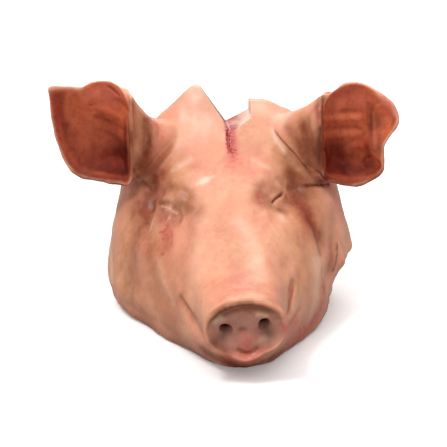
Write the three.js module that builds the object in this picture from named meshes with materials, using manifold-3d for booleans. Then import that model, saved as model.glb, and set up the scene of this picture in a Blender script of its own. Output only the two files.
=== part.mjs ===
// A butcher's pig head, cut off behind the ears, lying on its jaw. Millimetres, +Z up, snout towards -Y.
// The origin is on the flat that the jaw rests on, in the middle between the jowls.
import * as THREE from "three";
import { mergeVertices } from "three/addons/utils/BufferGeometryUtils.js";
import Module from "manifold-3d";

const wasm = await Module();
wasm.setup();

// Cross-sections of the head from the snout to the neck. Each gives the height of the mid-line
// and five [half-width, height] points down one side; base is the half-width and height of the
// edge of the underside, and keel the height of the underside in the middle.
const SECTIONS = [
  { y: -131, top: 84, crown: [20, 81], bridge: [33, 71], cheek: [37, 57], widest: [34, 43], jowl: [24, 34], base: [12, 31], keel: 30 },
  { y: -122, top: 85, crown: [20, 82], bridge: [34, 72], cheek: [38, 57], widest: [37, 43], jowl: [30, 26], base: [18, 11], keel: 7 },
  { y: -105, top: 89, crown: [20, 86], bridge: [35, 77], cheek: [41, 62], widest: [42, 45], jowl: [40, 25], base: [26, 4], keel: 2 },
  { y: -85, top: 96, crown: [20, 93], bridge: [36, 84], cheek: [45, 67], widest: [51, 46], jowl: [51, 24], base: [38, 1], keel: 0 },
  { y: -62, top: 104, crown: [20, 101], bridge: [38, 92], cheek: [53, 72], widest: [62, 47], jowl: [64, 23], base: [54, 0], keel: 0 },
  { y: -35, top: 115, crown: [22, 112], bridge: [43, 101], cheek: [64, 80], widest: [78, 50], jowl: [80, 23], base: [72, 0], keel: 0 },
  { y: -8, top: 128, crown: [28, 124], bridge: [52, 111], cheek: [78, 89], widest: [95, 54], jowl: [96, 23], base: [87, 0], keel: 0 },
  { y: 20, top: 146, crown: [32, 142], bridge: [60, 127], cheek: [92, 100], widest: [111, 58], jowl: [110, 24], base: [99, 0], keel: 0 },
  { y: 48, top: 168, crown: [36, 164], bridge: [68, 149], cheek: [102, 118], widest: [123, 60], jowl: [120, 25], base: [105, 0], keel: 0 },
  { y: 75, top: 193, crown: [40, 188], bridge: [76, 171], cheek: [108, 134], widest: [127, 64], jowl: [122, 27], base: [104, 0], keel: 0 },
  { y: 98, top: 224, crown: [38, 216], bridge: [80, 190], cheek: [111, 146], widest: [125, 66], jowl: [117, 30], base: [98, 1], keel: 1 },
];
const SECTION_KEYS = ["crown", "bridge", "cheek", "widest", "jowl", "base"];

// How finely the skin is cut up: rings between two sections, and steps between two points of one.
const RINGS_BETWEEN = [3, 4, 5, 5, 5, 5, 5, 4, 4, 4];
const STEPS_BETWEEN = [4, 3, 4, 5, 4, 3, 2];

// The face is rolled on the back of the head, its left side down, about an axis that leads a
// little to the right: [y, x] of that axis, and the height that it has all along.
const FACE_ROLL = THREE.MathUtils.degToRad(9);
const ROLL_FROM_Y = 90;
const ROLL_FULL_Y = 15;
const ROLL_AXIS = [
  [-145, 17],
  [-70, 11],
  [0, 9],
  [90, 2],
];
const ROLL_AXIS_HEIGHT = 60;
const SNOUT_LEAN = 0.16;
const LEAN_FROM_Y = -85;
const LEAN_FULL_Y = -128;

// The snout's disc: steps from the groove behind its rim to its middle, as [scale, forward].
const DISC_HEIGHT = 58;
const DISC_STEPS = [
  [1, 2.5],
  [1.035, 5],
  [1.05, 8],
  [1.03, 12],
  [0.97, 14.5],
  [0.87, 13.5],
  [0.6, 12],
  [0.3, 11.5],
];
const NOSTRIL = { apart: 36, width: 11, height: 16, depth: 24, rise: 5 };

// The cut across the neck, and the wedge that is split out of the nape.
const NECK_CUT_Y = 106;
const NECK_CUT_SLOPE = 0.03;
const NECK_CENTRE = new THREE.Vector3(0, NECK_CUT_Y, 96);
const NECK_STEPS = [
  [0.93, 1],
  [0.72, -4],
  [0.45, -2],
  [0.2, -5],
];
// In the cut: the two knobs that the spine sat on, the hole of its cord, and the windpipe's ring.
const KNOB = { at: [17, 105, 116], radii: [12, 11, 16] };
const CORD_HOLE = { at: [0, 112, 120], radii: [10, 26, 11] };
const WINDPIPE = { at: [0, 106, 62], radii: [21, 7, 17] };
const WINDPIPE_HOLE = { at: [0, 112, 62], radii: [12.5, 36, 9.5] };

const NOTCH_FRONT = new THREE.Vector3(4, 72, 187);
const NOTCH_BACK = new THREE.Vector3(0, 107, 189.5);
const NOTCH_LEFT_TOP = new THREE.Vector3(-67, 107, 283);
const NOTCH_RIGHT_LEDGE = new THREE.Vector3(24, 107, 202);
const NOTCH_RIGHT_TOP = new THREE.Vector3(27, 107, 283);

// Swells and hollows that both sides of the straight head have, given for its right side:
// centre, reach, and how far the skin is pushed.
const PAIRED_SWELLS = [
  { at: [40, 34, 150], reach: [20, 22, 20], push: [1, -3, 3] },
  { at: [56, 10, 118], reach: [16, 15, 12], push: [-4, 3, -2] },
  { at: [80, -8, 92], reach: [22, 30, 20], push: [3, -2, 1] },
  { at: [52, -72, 66], reach: [14, 14, 14], push: [3, 0, 1] },
  { at: [0, -20, 120], reach: [12, 50, 14], push: [0, 0, -1.5] },
  { at: [0, -140, 30], reach: [13, 16, 9], push: [0, 0, -6.5] },
];

// Furrows of the straight head, given for its right side: points, half-width and depth.
const FURROWS = [
  {
    name: "mouth",
    points: [
      [0, -135, 25],
      [20, -131, 27],
      [34, -119, 34],
      [43, -101, 46],
      [48, -85, 56],
      [52, -70, 63],
    ],
    width: 5.5,
    depth: 4.5,
  },
  {
    name: "closed eye",
    points: [
      [46, 8, 121],
      [54, 12, 124],
      [63, 18, 130],
    ],
    width: 4.5,
    depth: 3,
  },
];

// Swells and hollows of the one side or the other, on the head as it lies.
const SWELLS = [
  { at: [0, -20, 0], reach: [400, 90, 34], push: [-7, 0, 0] },
  { at: [128, 84, 66], reach: [60, 30, 36], push: [5, 0, 0] },
  { at: [112, 52, 38], reach: [40, 12, 30], push: [-8, 0, 0] },
  { at: [126, 61, 40], reach: [60, 42, 18], push: [-32, 0, 0] },
  { at: [126, 35, 3], reach: [60, 48, 19], push: [-9, 0, 0] },
  { at: [126, 55, 57], reach: [60, 27, 12], push: [11, 0, 0] },
  { at: [-126, 29, 1], reach: [60, 22, 12], push: [5.5, 0, 0] },
  { at: [-126, 75, 22], reach: [60, 47, 19], push: [-1, 0, 0] },
  { at: [-126, -18, 5], reach: [60, 36, 12], push: [9.5, 0, 0] },
  { at: [-80, 34, 119], reach: [16, 20, 22], push: [3.5, 4, -1] },
  { at: [75, 24, 128], reach: [16, 18, 20], push: [-3, 4, -1] },
  { at: [-75, -28, 6], reach: [40, 40, 18], push: [4, 6, 0] },
  { at: [-36, -74, 4], reach: [34, 34, 18], push: [4, 10, 0] },
  { at: [-118, 60, 142], reach: [30, 50, 18], push: [2.5, 0, 0] },
  { at: [114, 60, 148], reach: [30, 50, 14], push: [-2.5, 0, 0] },
  { at: [-122, 30, 26], reach: [60, 60, 30], push: [-5, 0, 0] },
  { at: [-112, 56, 122], reach: [30, 60, 22], push: [5, 0, 0] },
  { at: [-38, 106, 228], reach: [22, 24, 30], push: [0, 0, 13.5] },
  { at: [24, 106, 226], reach: [15, 24, 30], push: [0, 0, -8] },
  { at: [58, 106, 212], reach: [20, 24, 30], push: [0, 0, -1.5] },
];

// Each ear is a leaf-shaped cup: its rim's points, the canal that it narrows to, and its thickness.
const EAR_RINGS = 9;
const EAR_STEPS = 46;
const EAR_THICKNESS = 4.5;
const EAR_ROOT_THICKNESS = 11;
const EAR_HOLLOW = 2.2;

// The stump of gristle that an ear grows out of: how far out each section is, its [y, z] centre
// and its half-width and half-height.
const EARS = [
  {
    canal: [-113, 84, 160],
    stump: [
      { out: 48, centre: [90, 170], half: [18, 20] },
      { out: 66, centre: [79, 170], half: [24, 27] },
      { out: 80, centre: [70, 171.5], half: [26, 32.5] },
      { out: 90, centre: [65, 177], half: [27.5, 39] },
      { out: 96.5, centre: [64, 183], half: [25, 43] },
      { out: 103, centre: [80, 187], half: [13.5, 43] },
      { out: 112, centre: [88, 188], half: [6.5, 39] },
      { out: 118, centre: [92, 184], half: [4.5, 30] },
    ],
    rim: [
      [-100.5, 44, 139.5],
      [-97, 37, 165],
      [-96.5, 43.7, 187.8],
      [-97.5, 56, 206],
      [-102, 66.5, 221],
      [-109.5, 74, 233],
      [-119, 78, 238],
      [-132, 80, 238.5],
      [-144, 81, 234.5],
      [-152, 81, 232],
      [-168, 78.5, 233.7],
      [-182.5, 75, 233],
      [-182.5, 74.5, 222],
      [-179.5, 72, 196],
      [-173.5, 67, 173],
      [-164, 63, 153],
      [-153, 60, 143.5],
      [-134, 55, 140],
      [-121, 50, 139.5],
      [-110, 47, 139],
    ],
  },
  {
    canal: [114, 84, 160],
    stump: [
      { out: 48, centre: [90, 172], half: [18, 22] },
      { out: 66, centre: [79, 174], half: [24, 32] },
      { out: 80, centre: [70, 176], half: [26, 38] },
      { out: 90, centre: [65, 179.5], half: [27.5, 41.5] },
      { out: 96.5, centre: [63, 183], half: [25, 43] },
      { out: 103, centre: [80, 185.5], half: [13.5, 42] },
      { out: 112, centre: [88, 187], half: [6.5, 38] },
      { out: 118, centre: [92, 183], half: [4.5, 30] },
    ],
    rim: [
      [101.5, 43, 143.5],
      [98, 37, 165],
      [97.5, 43.2, 188],
      [98.5, 56, 206],
      [102, 65, 219.5],
      [110, 72.5, 229],
      [121, 77, 234.5],
      [131, 79, 236.3],
      [144, 79, 234],
      [157.5, 71, 227.5],
      [169, 61.5, 218.5],
      [174.5, 55, 207.5],
      [172.5, 51, 198.5],
      [164, 47, 187],
      [159.3, 45, 177],
      [160, 48, 160],
      [158.5, 50, 148.5],
      [147, 53, 139],
      [135, 53, 135.5],
      [124, 50, 137],
      [112, 46, 140.5],
    ],
  },
];

const SKIN = new THREE.MeshStandardMaterial({ color: 0xe3b193, roughness: 0.5, metalness: 0 });

// A closed surface through rings of equal length, shut at both ends by one point each. Each
// four-sided patch is split along its shorter diagonal.
function closedSkin(rings, firstPole, lastPole) {
  const count = rings[0].length;
  const points = [firstPole, ...rings.flat(), lastPole];
  const last = points.length - 1;
  const faces = [];
  for (let i = 0; i < count; i++) {
    const j = (i + 1) % count;
    faces.push([0, 1 + i, 1 + j]);
    faces.push([last, last - count + j, last - count + i]);
    for (let r = 0; r + 1 < rings.length; r++) {
      const here = 1 + r * count;
      const [a, b, c, d] = [here + i, here + count + i, here + count + j, here + j];
      if (points[a].distanceTo(points[c]) < points[b].distanceTo(points[d])) {
        faces.push([a, b, c], [a, c, d]);
      } else {
        faces.push([a, b, d], [b, c, d]);
      }
    }
  }
  const geometry = new THREE.BufferGeometry().setFromPoints(points);
  geometry.setIndex(faces.flat());
  return facingOut(geometry);
}

// The geometry with its faces turned so that it encloses a positive volume.
function facingOut(geometry) {
  const at = geometry.getAttribute("position");
  const index = geometry.getIndex();
  const [a, b, c] = [new THREE.Vector3(), new THREE.Vector3(), new THREE.Vector3()];
  let volume = 0;
  for (let i = 0; i < index.count; i += 3) {
    a.fromBufferAttribute(at, index.getX(i));
    b.fromBufferAttribute(at, index.getX(i + 1));
    c.fromBufferAttribute(at, index.getX(i + 2));
    volume += a.dot(b.cross(c));
  }
  if (volume < 0) {
    const turned = Array.from(index.array);
    for (let i = 0; i < turned.length; i += 3) {
      [turned[i + 1], turned[i + 2]] = [turned[i + 2], turned[i + 1]];
    }
    geometry.setIndex(turned);
  }
  return geometry;
}

// The solid that a closed geometry bounds.
function solidOf(geometry) {
  const bare = geometry.clone();
  bare.deleteAttribute("normal");
  bare.deleteAttribute("uv");
  const merged = mergeVertices(bare, 1e-4);
  return new wasm.Manifold(
    new wasm.Mesh({
      numProp: 3,
      vertProperties: merged.getAttribute("position").array,
      triVerts: new Uint32Array(merged.getIndex().array),
    }),
  );
}

// A solid's faces as a geometry.
function geometryOf(solid) {
  const mesh = solid.getMesh();
  const geometry = new THREE.BufferGeometry();
  geometry.setAttribute("position", new THREE.BufferAttribute(mesh.vertProperties, 3));
  geometry.setIndex(new THREE.BufferAttribute(mesh.triVerts, 1));
  geometry.computeVertexNormals();
  return geometry;
}

// The half-profile of a section from the mid-line's top to its bottom, mirrored into a closed ring.
function sectionPoints(section) {
  const side = SECTION_KEYS.map((key) => section[key]);
  const half = [[0, section.top], ...side, [0, section.keel]];
  const mirrored = side.map(([w, z]) => [-w, z]).reverse();
  return [...half, ...mirrored].map(([w, z]) => new THREE.Vector3(w, section.y, z));
}

// The steps round a ring, in shares of its closed curve, finer where STEPS_BETWEEN says so.
function ringShares() {
  const steps = [...STEPS_BETWEEN, ...[...STEPS_BETWEEN].reverse()];
  const shares = [];
  steps.forEach((count, span) => {
    for (let i = 0; i < count; i++) shares.push((span + i / count) / steps.length);
  });
  return shares;
}

function smooth(from, to, value) {
  return THREE.MathUtils.smoothstep((value - from) / (to - from), 0, 1);
}

// The value at y of a table of [y, value] rows, straight between them.
function tableAt(table, y) {
  const after = table.findIndex(([rowY]) => rowY > y);
  if (after < 0) return table.at(-1)[1];
  if (after === 0) return table[0][1];
  const [[fromY, from], [toY, to]] = [table[after - 1], table[after]];
  return THREE.MathUtils.mapLinear(y, fromY, toY, from, to);
}

// Moves a point by each swell that it lies within reach of.
function swell(p, swells) {
  const start = p.clone();
  for (const { at, reach, push } of swells) {
    const away = start.clone().sub(new THREE.Vector3(...at)).divide(new THREE.Vector3(...reach));
    p.addScaledVector(new THREE.Vector3(...push), Math.exp(-away.lengthSq()));
  }
}

// How far a point is from a broken line.
function distanceTo(points, p) {
  let nearest = Infinity;
  for (let i = 0; i + 1 < points.length; i++) {
    const line = new THREE.Line3(new THREE.Vector3(...points[i]), new THREE.Vector3(...points[i + 1]));
    const foot = line.closestPointToPoint(p, true, new THREE.Vector3());
    nearest = Math.min(nearest, foot.distanceTo(p));
  }
  return nearest;
}

// Swells and furrows a point of the straight head, worked on its right side.
function featured(point) {
  const side = point.x < 0 ? -1 : 1;
  const p = new THREE.Vector3(Math.abs(point.x), point.y, point.z);
  const inwards = new THREE.Vector3(-p.x, 0, ROLL_AXIS_HEIGHT - p.z).normalize();
  let depth = 0;
  for (const { points, width, depth: full } of FURROWS) {
    depth += full * Math.exp(-((distanceTo(points, p) / width) ** 2));
  }
  swell(p, PAIRED_SWELLS);
  p.addScaledVector(inwards, depth);
  p.x *= side;
  return p;
}

// Gives a point of the straight head its features and leans, rolls and swells it into its place.
function bent(point) {
  const p = featured(point);
  p.y -= SNOUT_LEAN * smooth(LEAN_FROM_Y, LEAN_FULL_Y, point.y) * (point.z - DISC_HEIGHT);
  const share = smooth(ROLL_FROM_Y, ROLL_FULL_Y, point.y);
  const grip = smooth(0, ROLL_AXIS_HEIGHT, point.z);
  const turned = new THREE.Vector2(p.x, p.z - ROLL_AXIS_HEIGHT);
  turned.rotateAround(new THREE.Vector2(), FACE_ROLL * share * grip);
  p.x = turned.x + tableAt(ROLL_AXIS, point.y);
  p.z = turned.y + ROLL_AXIS_HEIGHT;
  swell(p, SWELLS);
  p.z = Math.max(p.z, 0);
  return p;
}

// The head without its ears, from the middle of the snout's disc to the middle of the neck's cut.
function headGeometry() {
  const rails = SECTIONS.map(sectionPoints);
  const shares = ringShares();
  const ends = rails[0].map(
    (_, k) => new THREE.CatmullRomCurve3(rails.map((r) => r[k]), false, "catmullrom", 0.5),
  );
  const ringAt = (t) => {
    const corners = ends.map((rail) => rail.getPoint(t));
    const ring = new THREE.CatmullRomCurve3(corners, true, "catmullrom", 0.5);
    return shares.map((share) => ring.getPoint(share));
  };
  const straight = RINGS_BETWEEN.flatMap((count, span) =>
    Array.from({ length: count }, (_, i) => ringAt((span + i / count) / RINGS_BETWEEN.length)),
  );
  straight.push(ringAt(1));

  const groove = straight[0];
  const discCentre = new THREE.Vector3(0, SECTIONS[0].y, DISC_HEIGHT);
  const disc = DISC_STEPS.map(([scale, forward]) =>
    groove.map((p) => {
      const q = p.clone().sub(discCentre).multiplyScalar(scale).add(discCentre);
      q.y -= forward;
      return q;
    }),
  ).reverse();
  const snoutTip = discCentre.clone();
  snoutTip.y -= DISC_STEPS.at(-1)[1];

  const back = straight.at(-1).map((p) => {
    const q = p.clone();
    q.y = NECK_CUT_Y + NECK_CUT_SLOPE * p.z;
    return q;
  });
  const cut = NECK_STEPS.map(([scale, out]) =>
    back.map((p) => {
      const q = p.clone().sub(NECK_CENTRE).multiplyScalar(scale).add(NECK_CENTRE);
      q.y = NECK_CUT_Y + NECK_CUT_SLOPE * q.z + out;
      return q;
    }),
  );
  const neckPole = NECK_CENTRE.clone();
  neckPole.y += NECK_STEPS.at(-1)[1];

  const rings = [...disc, ...straight, back, ...cut].map((ring) => ring.map(bent));
  return closedSkin(rings, bent(snoutTip), bent(neckPole));
}

// The mean of some points.
function middle(points) {
  return points.reduce((sum, p) => sum.add(p), new THREE.Vector3()).divideScalar(points.length);
}

// The wedge split out of the nape: a V that opens upwards and runs out at the back, its right
// side a slope of meat up to the thickness of the skin.
function notchGeometry() {
  const along = NOTCH_BACK.clone().sub(NOTCH_FRONT);
  const profile = [NOTCH_BACK, NOTCH_RIGHT_LEDGE, NOTCH_RIGHT_TOP, NOTCH_LEFT_TOP];
  const rings = [-0.5, 0.5, 1.6].map((share) =>
    profile.map((p) => p.clone().addScaledVector(along, share - 1)),
  );
  return closedSkin(rings, middle(rings[0]), middle(rings.at(-1)));
}

// A bent, flattened tube from the disc into the snout, tapering inwards.
function nostrilGeometry(side) {
  const steps = 12;
  const rings = [];
  for (const [scale, inward] of [[1.15, -12], [1, 2], [0.85, 0.5 * NOSTRIL.depth], [0.5, NOSTRIL.depth]]) {
    const ring = [];
    for (let i = 0; i < steps; i++) {
      const turn = (2 * Math.PI * i) / steps;
      ring.push(
        new THREE.Vector3(
          side * (NOSTRIL.apart / 2) + (scale * NOSTRIL.width * Math.cos(turn)) / 2,
          SECTIONS[0].y - DISC_STEPS.at(-1)[1] + inward,
          DISC_HEIGHT + NOSTRIL.rise * (inward / NOSTRIL.depth) + (scale * NOSTRIL.height * Math.sin(turn)) / 2,
        ),
      );
    }
    rings.push(ring.map(bent));
  }
  return closedSkin(rings, middle(rings[0]), middle(rings.at(-1)));
}

// An ear: the inner face of the cup, the rim, and the outer face, as rings round the canal.
function earGeometry({ canal, rim }) {
  const centre = new THREE.Vector3(...canal);
  const loop = new THREE.CatmullRomCurve3(rim.map((p) => new THREE.Vector3(...p)), true, "catmullrom", 0.5);
  const edge = loop.getSpacedPoints(EAR_STEPS).slice(0, EAR_STEPS);
  const inner = [];
  for (let r = 1; r <= EAR_RINGS; r++) {
    const share = r / EAR_RINGS;
    inner.push(
      edge.map((p) => {
        const q = centre.clone().lerp(p, share);
        q.y = THREE.MathUtils.lerp(centre.y, p.y, share ** EAR_HOLLOW);
        return q;
      }),
    );
  }
  const outer = inner.map((ring, r) => {
    const share = (r + 1) / EAR_RINGS;
    const thick = THREE.MathUtils.lerp(EAR_ROOT_THICKNESS, EAR_THICKNESS, Math.sqrt(share));
    return ring.map((p, i) => {
      const next = ring[(i + 1) % EAR_STEPS];
      const before = ring[(i + EAR_STEPS - 1) % EAR_STEPS];
      const inwards = r > 0 ? inner[r - 1][i] : centre;
      const around = next.clone().sub(before);
      const across = p.clone().sub(inwards);
      const normal = across.cross(around).normalize();
      if (normal.y < 0) normal.negate();
      return p.clone().addScaledVector(normal, r + 1 === EAR_RINGS ? 0.5 * thick : thick);
    });
  });
  const behind = centre.clone();
  behind.y += EAR_ROOT_THICKNESS;
  return closedSkin([...inner, ...outer.reverse()], centre, behind);
}

// The stump between the side of the head and the ear's inner edge.
function stumpGeometry({ canal, stump }) {
  const side = Math.sign(canal[0]);
  const steps = 20;
  const rings = stump.map(({ out, centre, half }) =>
    Array.from({ length: steps }, (_, i) => {
      const turn = (2 * Math.PI * i) / steps;
      return new THREE.Vector3(
        side * out,
        centre[0] + half[0] * Math.cos(turn),
        centre[1] + half[1] * Math.sin(turn),
      );
    }),
  );
  const pole = ({ out, centre }, beyond) => new THREE.Vector3(side * (out + beyond), ...centre);
  return closedSkin(rings, pole(stump[0], -4), pole(stump.at(-1), 1));
}

// An egg shape with its middle at a point; side -1 mirrors it to the left.
function egg({ at, radii }, side = 1) {
  const ball = new THREE.SphereGeometry(1, 16, 10);
  ball.scale(...radii);
  ball.translate(side * at[0], at[1], at[2]);
  return ball;
}

function pigHead() {
  let solid = solidOf(headGeometry());
  for (const ear of EARS) {
    solid = solid.add(solidOf(stumpGeometry(ear))).add(solidOf(earGeometry(ear)));
  }
  for (const side of [-1, 1]) solid = solid.add(solidOf(egg(KNOB, side)));
  solid = solid.add(solidOf(egg(WINDPIPE)));
  solid = solid.subtract(solidOf(egg(CORD_HOLE))).subtract(solidOf(egg(WINDPIPE_HOLE)));
  solid = solid.subtract(solidOf(notchGeometry()));
  for (const side of [-1, 1]) solid = solid.subtract(solidOf(nostrilGeometry(side)));
  const mesh = new THREE.Mesh(geometryOf(solid), SKIN);
  mesh.name = "head";
  return mesh;
}

const object = new THREE.Group();
object.add(pigHead());
export default object;
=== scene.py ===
"""The finished look of a butcher's pig head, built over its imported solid. All sizes are in millimetres."""

from __future__ import annotations

import logging
import math
from collections.abc import Sequence
from dataclasses import dataclass, field
from enum import Enum

import bpy
import numpy as np
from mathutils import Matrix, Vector
from mathutils.bvhtree import BVHTree
from mathutils.kdtree import KDTree

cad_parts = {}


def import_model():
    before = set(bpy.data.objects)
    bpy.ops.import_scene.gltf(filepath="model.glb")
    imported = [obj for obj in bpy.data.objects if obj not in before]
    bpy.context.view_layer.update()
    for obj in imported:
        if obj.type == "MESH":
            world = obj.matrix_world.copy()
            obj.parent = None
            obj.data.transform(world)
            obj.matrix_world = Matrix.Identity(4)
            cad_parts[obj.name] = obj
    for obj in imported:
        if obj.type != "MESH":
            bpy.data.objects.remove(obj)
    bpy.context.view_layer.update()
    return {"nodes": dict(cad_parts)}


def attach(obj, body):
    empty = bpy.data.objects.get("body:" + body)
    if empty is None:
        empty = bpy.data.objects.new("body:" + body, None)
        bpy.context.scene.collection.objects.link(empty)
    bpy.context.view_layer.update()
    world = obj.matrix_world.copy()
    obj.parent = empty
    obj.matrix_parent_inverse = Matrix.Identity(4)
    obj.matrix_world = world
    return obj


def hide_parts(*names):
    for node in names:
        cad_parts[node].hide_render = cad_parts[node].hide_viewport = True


LOG = logging.getLogger("pig_head")
MM = 0.001
Pixel = tuple[float, float]
Point = tuple[float, float, float]
Range = tuple[float, float]  # where a soft change begins, and where it is complete


def smooth(low: float, high: float, value: np.ndarray | float) -> np.ndarray:
    """How far each value has come from low, which may be the higher one, to high: softly from 0 to 1."""
    t = np.clip((np.asarray(value, dtype=float) - low) / (high - low), 0.0, 1.0)
    return t * t * (3.0 - 2.0 * t)


def catmull_rom(points: Sequence, shares: np.ndarray | int, closed: bool = False) -> np.ndarray:
    """Runs a smooth curve through points.

    Args:
        points: the curve's points along the first axis.
        shares: places along the curve, 0 to 1, evenly over its spans, or how many of them.
        closed: whether the last point joins the first.

    Returns:
        One row for each share.
    """
    points = np.asarray(points, dtype=float)
    spans = len(points) if closed else len(points) - 1
    place = (np.linspace(0, 1, shares) if isinstance(shares, int) else shares) * spans
    first = np.minimum(np.floor(place).astype(int), spans - 1)
    if closed:
        p0, p1, p2, p3 = (points[(first + k) % spans] for k in (-1, 0, 1, 2))
    else:
        longer = np.concatenate([2 * points[:1] - points[1:2], points, 2 * points[-1:] - points[-2:-1]])
        p0, p1, p2, p3 = (longer[first + k] for k in range(4))
    w = (place - first).reshape((-1,) + (1,) * (points.ndim - 1))
    start, end, rise = 0.5 * (p2 - p0), 0.5 * (p3 - p1), p2 - p1
    return p1 + w * start + w**2 * (3 * rise - 2 * start - end) + w**3 * (start + end - 2 * rise)


def reached(line: np.ndarray) -> np.ndarray:
    """How far along a broken line each of its corners is."""
    return np.concatenate([[0.0], np.cumsum(np.linalg.norm(np.diff(line, axis=0), axis=1))])


@dataclass(frozen=True)
class Nearest:
    """Where points lie beside a broken line.

    Attributes:
        distance: how far each point is from the line.
        along: how far along the line its nearest place is, 0 to 1.
        heading: the line's direction there.
        offset: from that place to the point.
    """

    distance: np.ndarray
    along: np.ndarray
    heading: np.ndarray
    offset: np.ndarray


def nearest_on_line(points: np.ndarray, line: np.ndarray) -> Nearest:
    """Finds the nearest place on a broken line.

    Args:
        points: the points to measure, one a row.
        line: the line's corners, at least one.

    Returns:
        The distances and directions there.
    """
    if len(line) == 1:
        line = np.repeat(line, 2, axis=0) + np.array([[0, 0, 0], [0, 0, 1e-6]])
    best = np.full(len(points), np.inf)
    along = np.zeros(len(points))
    heading = np.zeros_like(points)
    offset = np.zeros_like(points)
    reach = reached(line)
    for k in range(len(line) - 1):
        step = line[k + 1] - line[k]
        length = float(np.linalg.norm(step))
        if length < 1e-9:
            continue
        share = np.clip((points - line[k]) @ step / length**2, 0.0, 1.0)
        away = points - (line[k] + share[:, None] * step)
        distance = np.linalg.norm(away, axis=1)
        closer = distance < best
        best[closer] = distance[closer]
        along[closer] = (reach[k] + share[closer] * length) / reach[-1]
        heading[closer] = step / length
        offset[closer] = away[closer]
    return Nearest(best, along, heading, offset)


def linked(name: str, data: bpy.types.ID) -> bpy.types.Object:
    """Puts an object into the scene.

    Args:
        name: its name.
        data: its mesh, lamp or camera.

    Returns:
        The object, which turns by a quaternion.
    """
    thing = bpy.data.objects.new(name, data)
    thing.rotation_mode = "QUATERNION"
    bpy.context.scene.collection.objects.link(thing)
    return thing


@dataclass
class Shell:
    """A surface as arrays: its points, its faces, and what the faces enclose.

    Attributes:
        points: one point a row.
        faces: corner numbers of each face.
    """

    points: np.ndarray
    faces: list[list[int]]

    @classmethod
    def from_rings(cls, rings: np.ndarray, first: Sequence[float], last: Sequence[float]) -> Shell:
        """Closes rings of equal length into a solid's skin.

        Args:
            rings: rings by points by three.
            first: the point that shuts the first ring.
            last: the point that shuts the last one.

        Returns:
            The skin, facing out.
        """
        rows, count = rings.shape[:2]
        points = np.concatenate([[first], rings.reshape(-1, 3), [last]])
        here = 1 + np.arange(rows)[:, None] * count + np.arange(count)[None]
        there = np.roll(here, -1, axis=1)
        quads = np.stack([here[:-1], here[1:], there[1:], there[:-1]], axis=-1).reshape(-1, 4)
        fans = [[0, int(a), int(b)] for a, b in zip(here[0], there[0])]
        fans += [[len(points) - 1, int(b), int(a)] for a, b in zip(here[-1], there[-1])]
        shell = cls(points, quads.tolist() + fans)
        return shell.facing_out()

    def facing_out(self) -> Shell:
        """The same skin with its faces turned outwards.

        Returns:
            This shell, or one with every face turned over.
        """
        volume = 0.0
        for size in (3, 4):
            corners = np.array([f for f in self.faces if len(f) == size])
            for k in range(1, size - 1) if len(corners) else ():
                a, b, c = (self.points[corners[:, i]] for i in (0, k, k + 1))
                volume += float(np.einsum("ij,ij->", a, np.cross(b, c)))
        if volume < 0:
            return Shell(self.points, [f[::-1] for f in self.faces])
        return self

    def joined(self, *others: Shell) -> Shell:
        """This shell and others as one, overlapping where they do.

        Args:
            others: the shells to put beside it.

        Returns:
            One shell with all their faces.
        """
        points, faces, start = [], [], 0
        for shell in (self, *others):
            points.append(shell.points)
            faces += [[start + i for i in face] for face in shell.faces]
            start += len(shell.points)
        return Shell(np.concatenate(points), faces)

    def to_object(self, name: str) -> bpy.types.Object:
        """Makes a Blender object of it.

        Args:
            name: the object's name.

        Returns:
            The object, linked to the scene.
        """
        mesh = bpy.data.meshes.new(name)
        mesh.from_pydata((self.points * MM).tolist(), [], self.faces)
        mesh.validate()
        return linked(name, mesh)


def modified(thing: bpy.types.Object) -> bpy.types.Object:
    """Makes an object's modifiers permanent.

    Args:
        thing: the object.

    Returns:
        The same object with its evaluated mesh and no modifiers.
    """
    graph = bpy.context.evaluated_depsgraph_get()
    mesh = bpy.data.meshes.new_from_object(thing.evaluated_get(graph), depsgraph=graph)
    old = thing.data
    thing.modifiers.clear()
    thing.data = mesh
    bpy.data.meshes.remove(old)
    return thing


def combine(thing: bpy.types.Object, other: bpy.types.Object, operation: str) -> None:
    """Joins or cuts one solid by another, which is then removed.

    Args:
        thing: the solid that is kept.
        other: the solid that is used up.
        operation: UNION or DIFFERENCE.
    """
    cut = thing.modifiers.new("cut", "BOOLEAN")
    cut.operation = operation
    cut.solver = "MANIFOLD"
    cut.object = other
    modified(thing)
    bpy.data.objects.remove(other, do_unlink=True)


def read(mesh: bpy.types.Mesh, what: str) -> np.ndarray:
    """Reads three numbers for each of a mesh's points.

    Args:
        mesh: the mesh.
        what: co for their places, normal for the directions outwards.

    Returns:
        One row a point.
    """
    flat = np.empty(len(mesh.vertices) * 3)
    mesh.vertices.foreach_get(what, flat)
    return flat.reshape(-1, 3)


def move_points(mesh: bpy.types.Mesh, points: np.ndarray) -> None:
    """Puts a mesh's points somewhere else, their new places given in millimetres."""
    mesh.vertices.foreach_set("co", (points * MM).ravel())
    mesh.update()


def drawn_in(
    mesh: bpy.types.Mesh, points: np.ndarray, pulls: Sequence[float], share: np.ndarray | float
) -> np.ndarray:
    """Draws points towards the middle of their neighbours, one pull after another.

    Args:
        mesh: the mesh whose edges say who the neighbours are.
        points: where the points are.
        pulls: how much of the way each pull goes; one below 0 pushes back, so that nothing shrinks.
        share: how much of it each point takes, 0 to 1.

    Returns:
        Where the points are afterwards.
    """
    edges = np.empty(len(mesh.edges) * 2, dtype=np.int64)
    mesh.edges.foreach_get("vertices", edges)
    edges = edges.reshape(-1, 2)
    taken = np.broadcast_to(np.asarray(share, dtype=float), len(points))
    taken = np.where(taken > 0.001, taken, 0.0)
    edges = edges[(taken[edges] > 0).any(axis=1)]
    ends, others = edges.ravel(), edges[:, ::-1].ravel()
    count = np.maximum(np.bincount(ends, minlength=len(points)), 1)[:, None]
    for pull in pulls:
        sums = np.stack([np.bincount(ends, points[others, k], len(points)) for k in range(3)], axis=1)
        points = points + pull * taken[:, None] * (sums / count - points)
    return points


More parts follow.
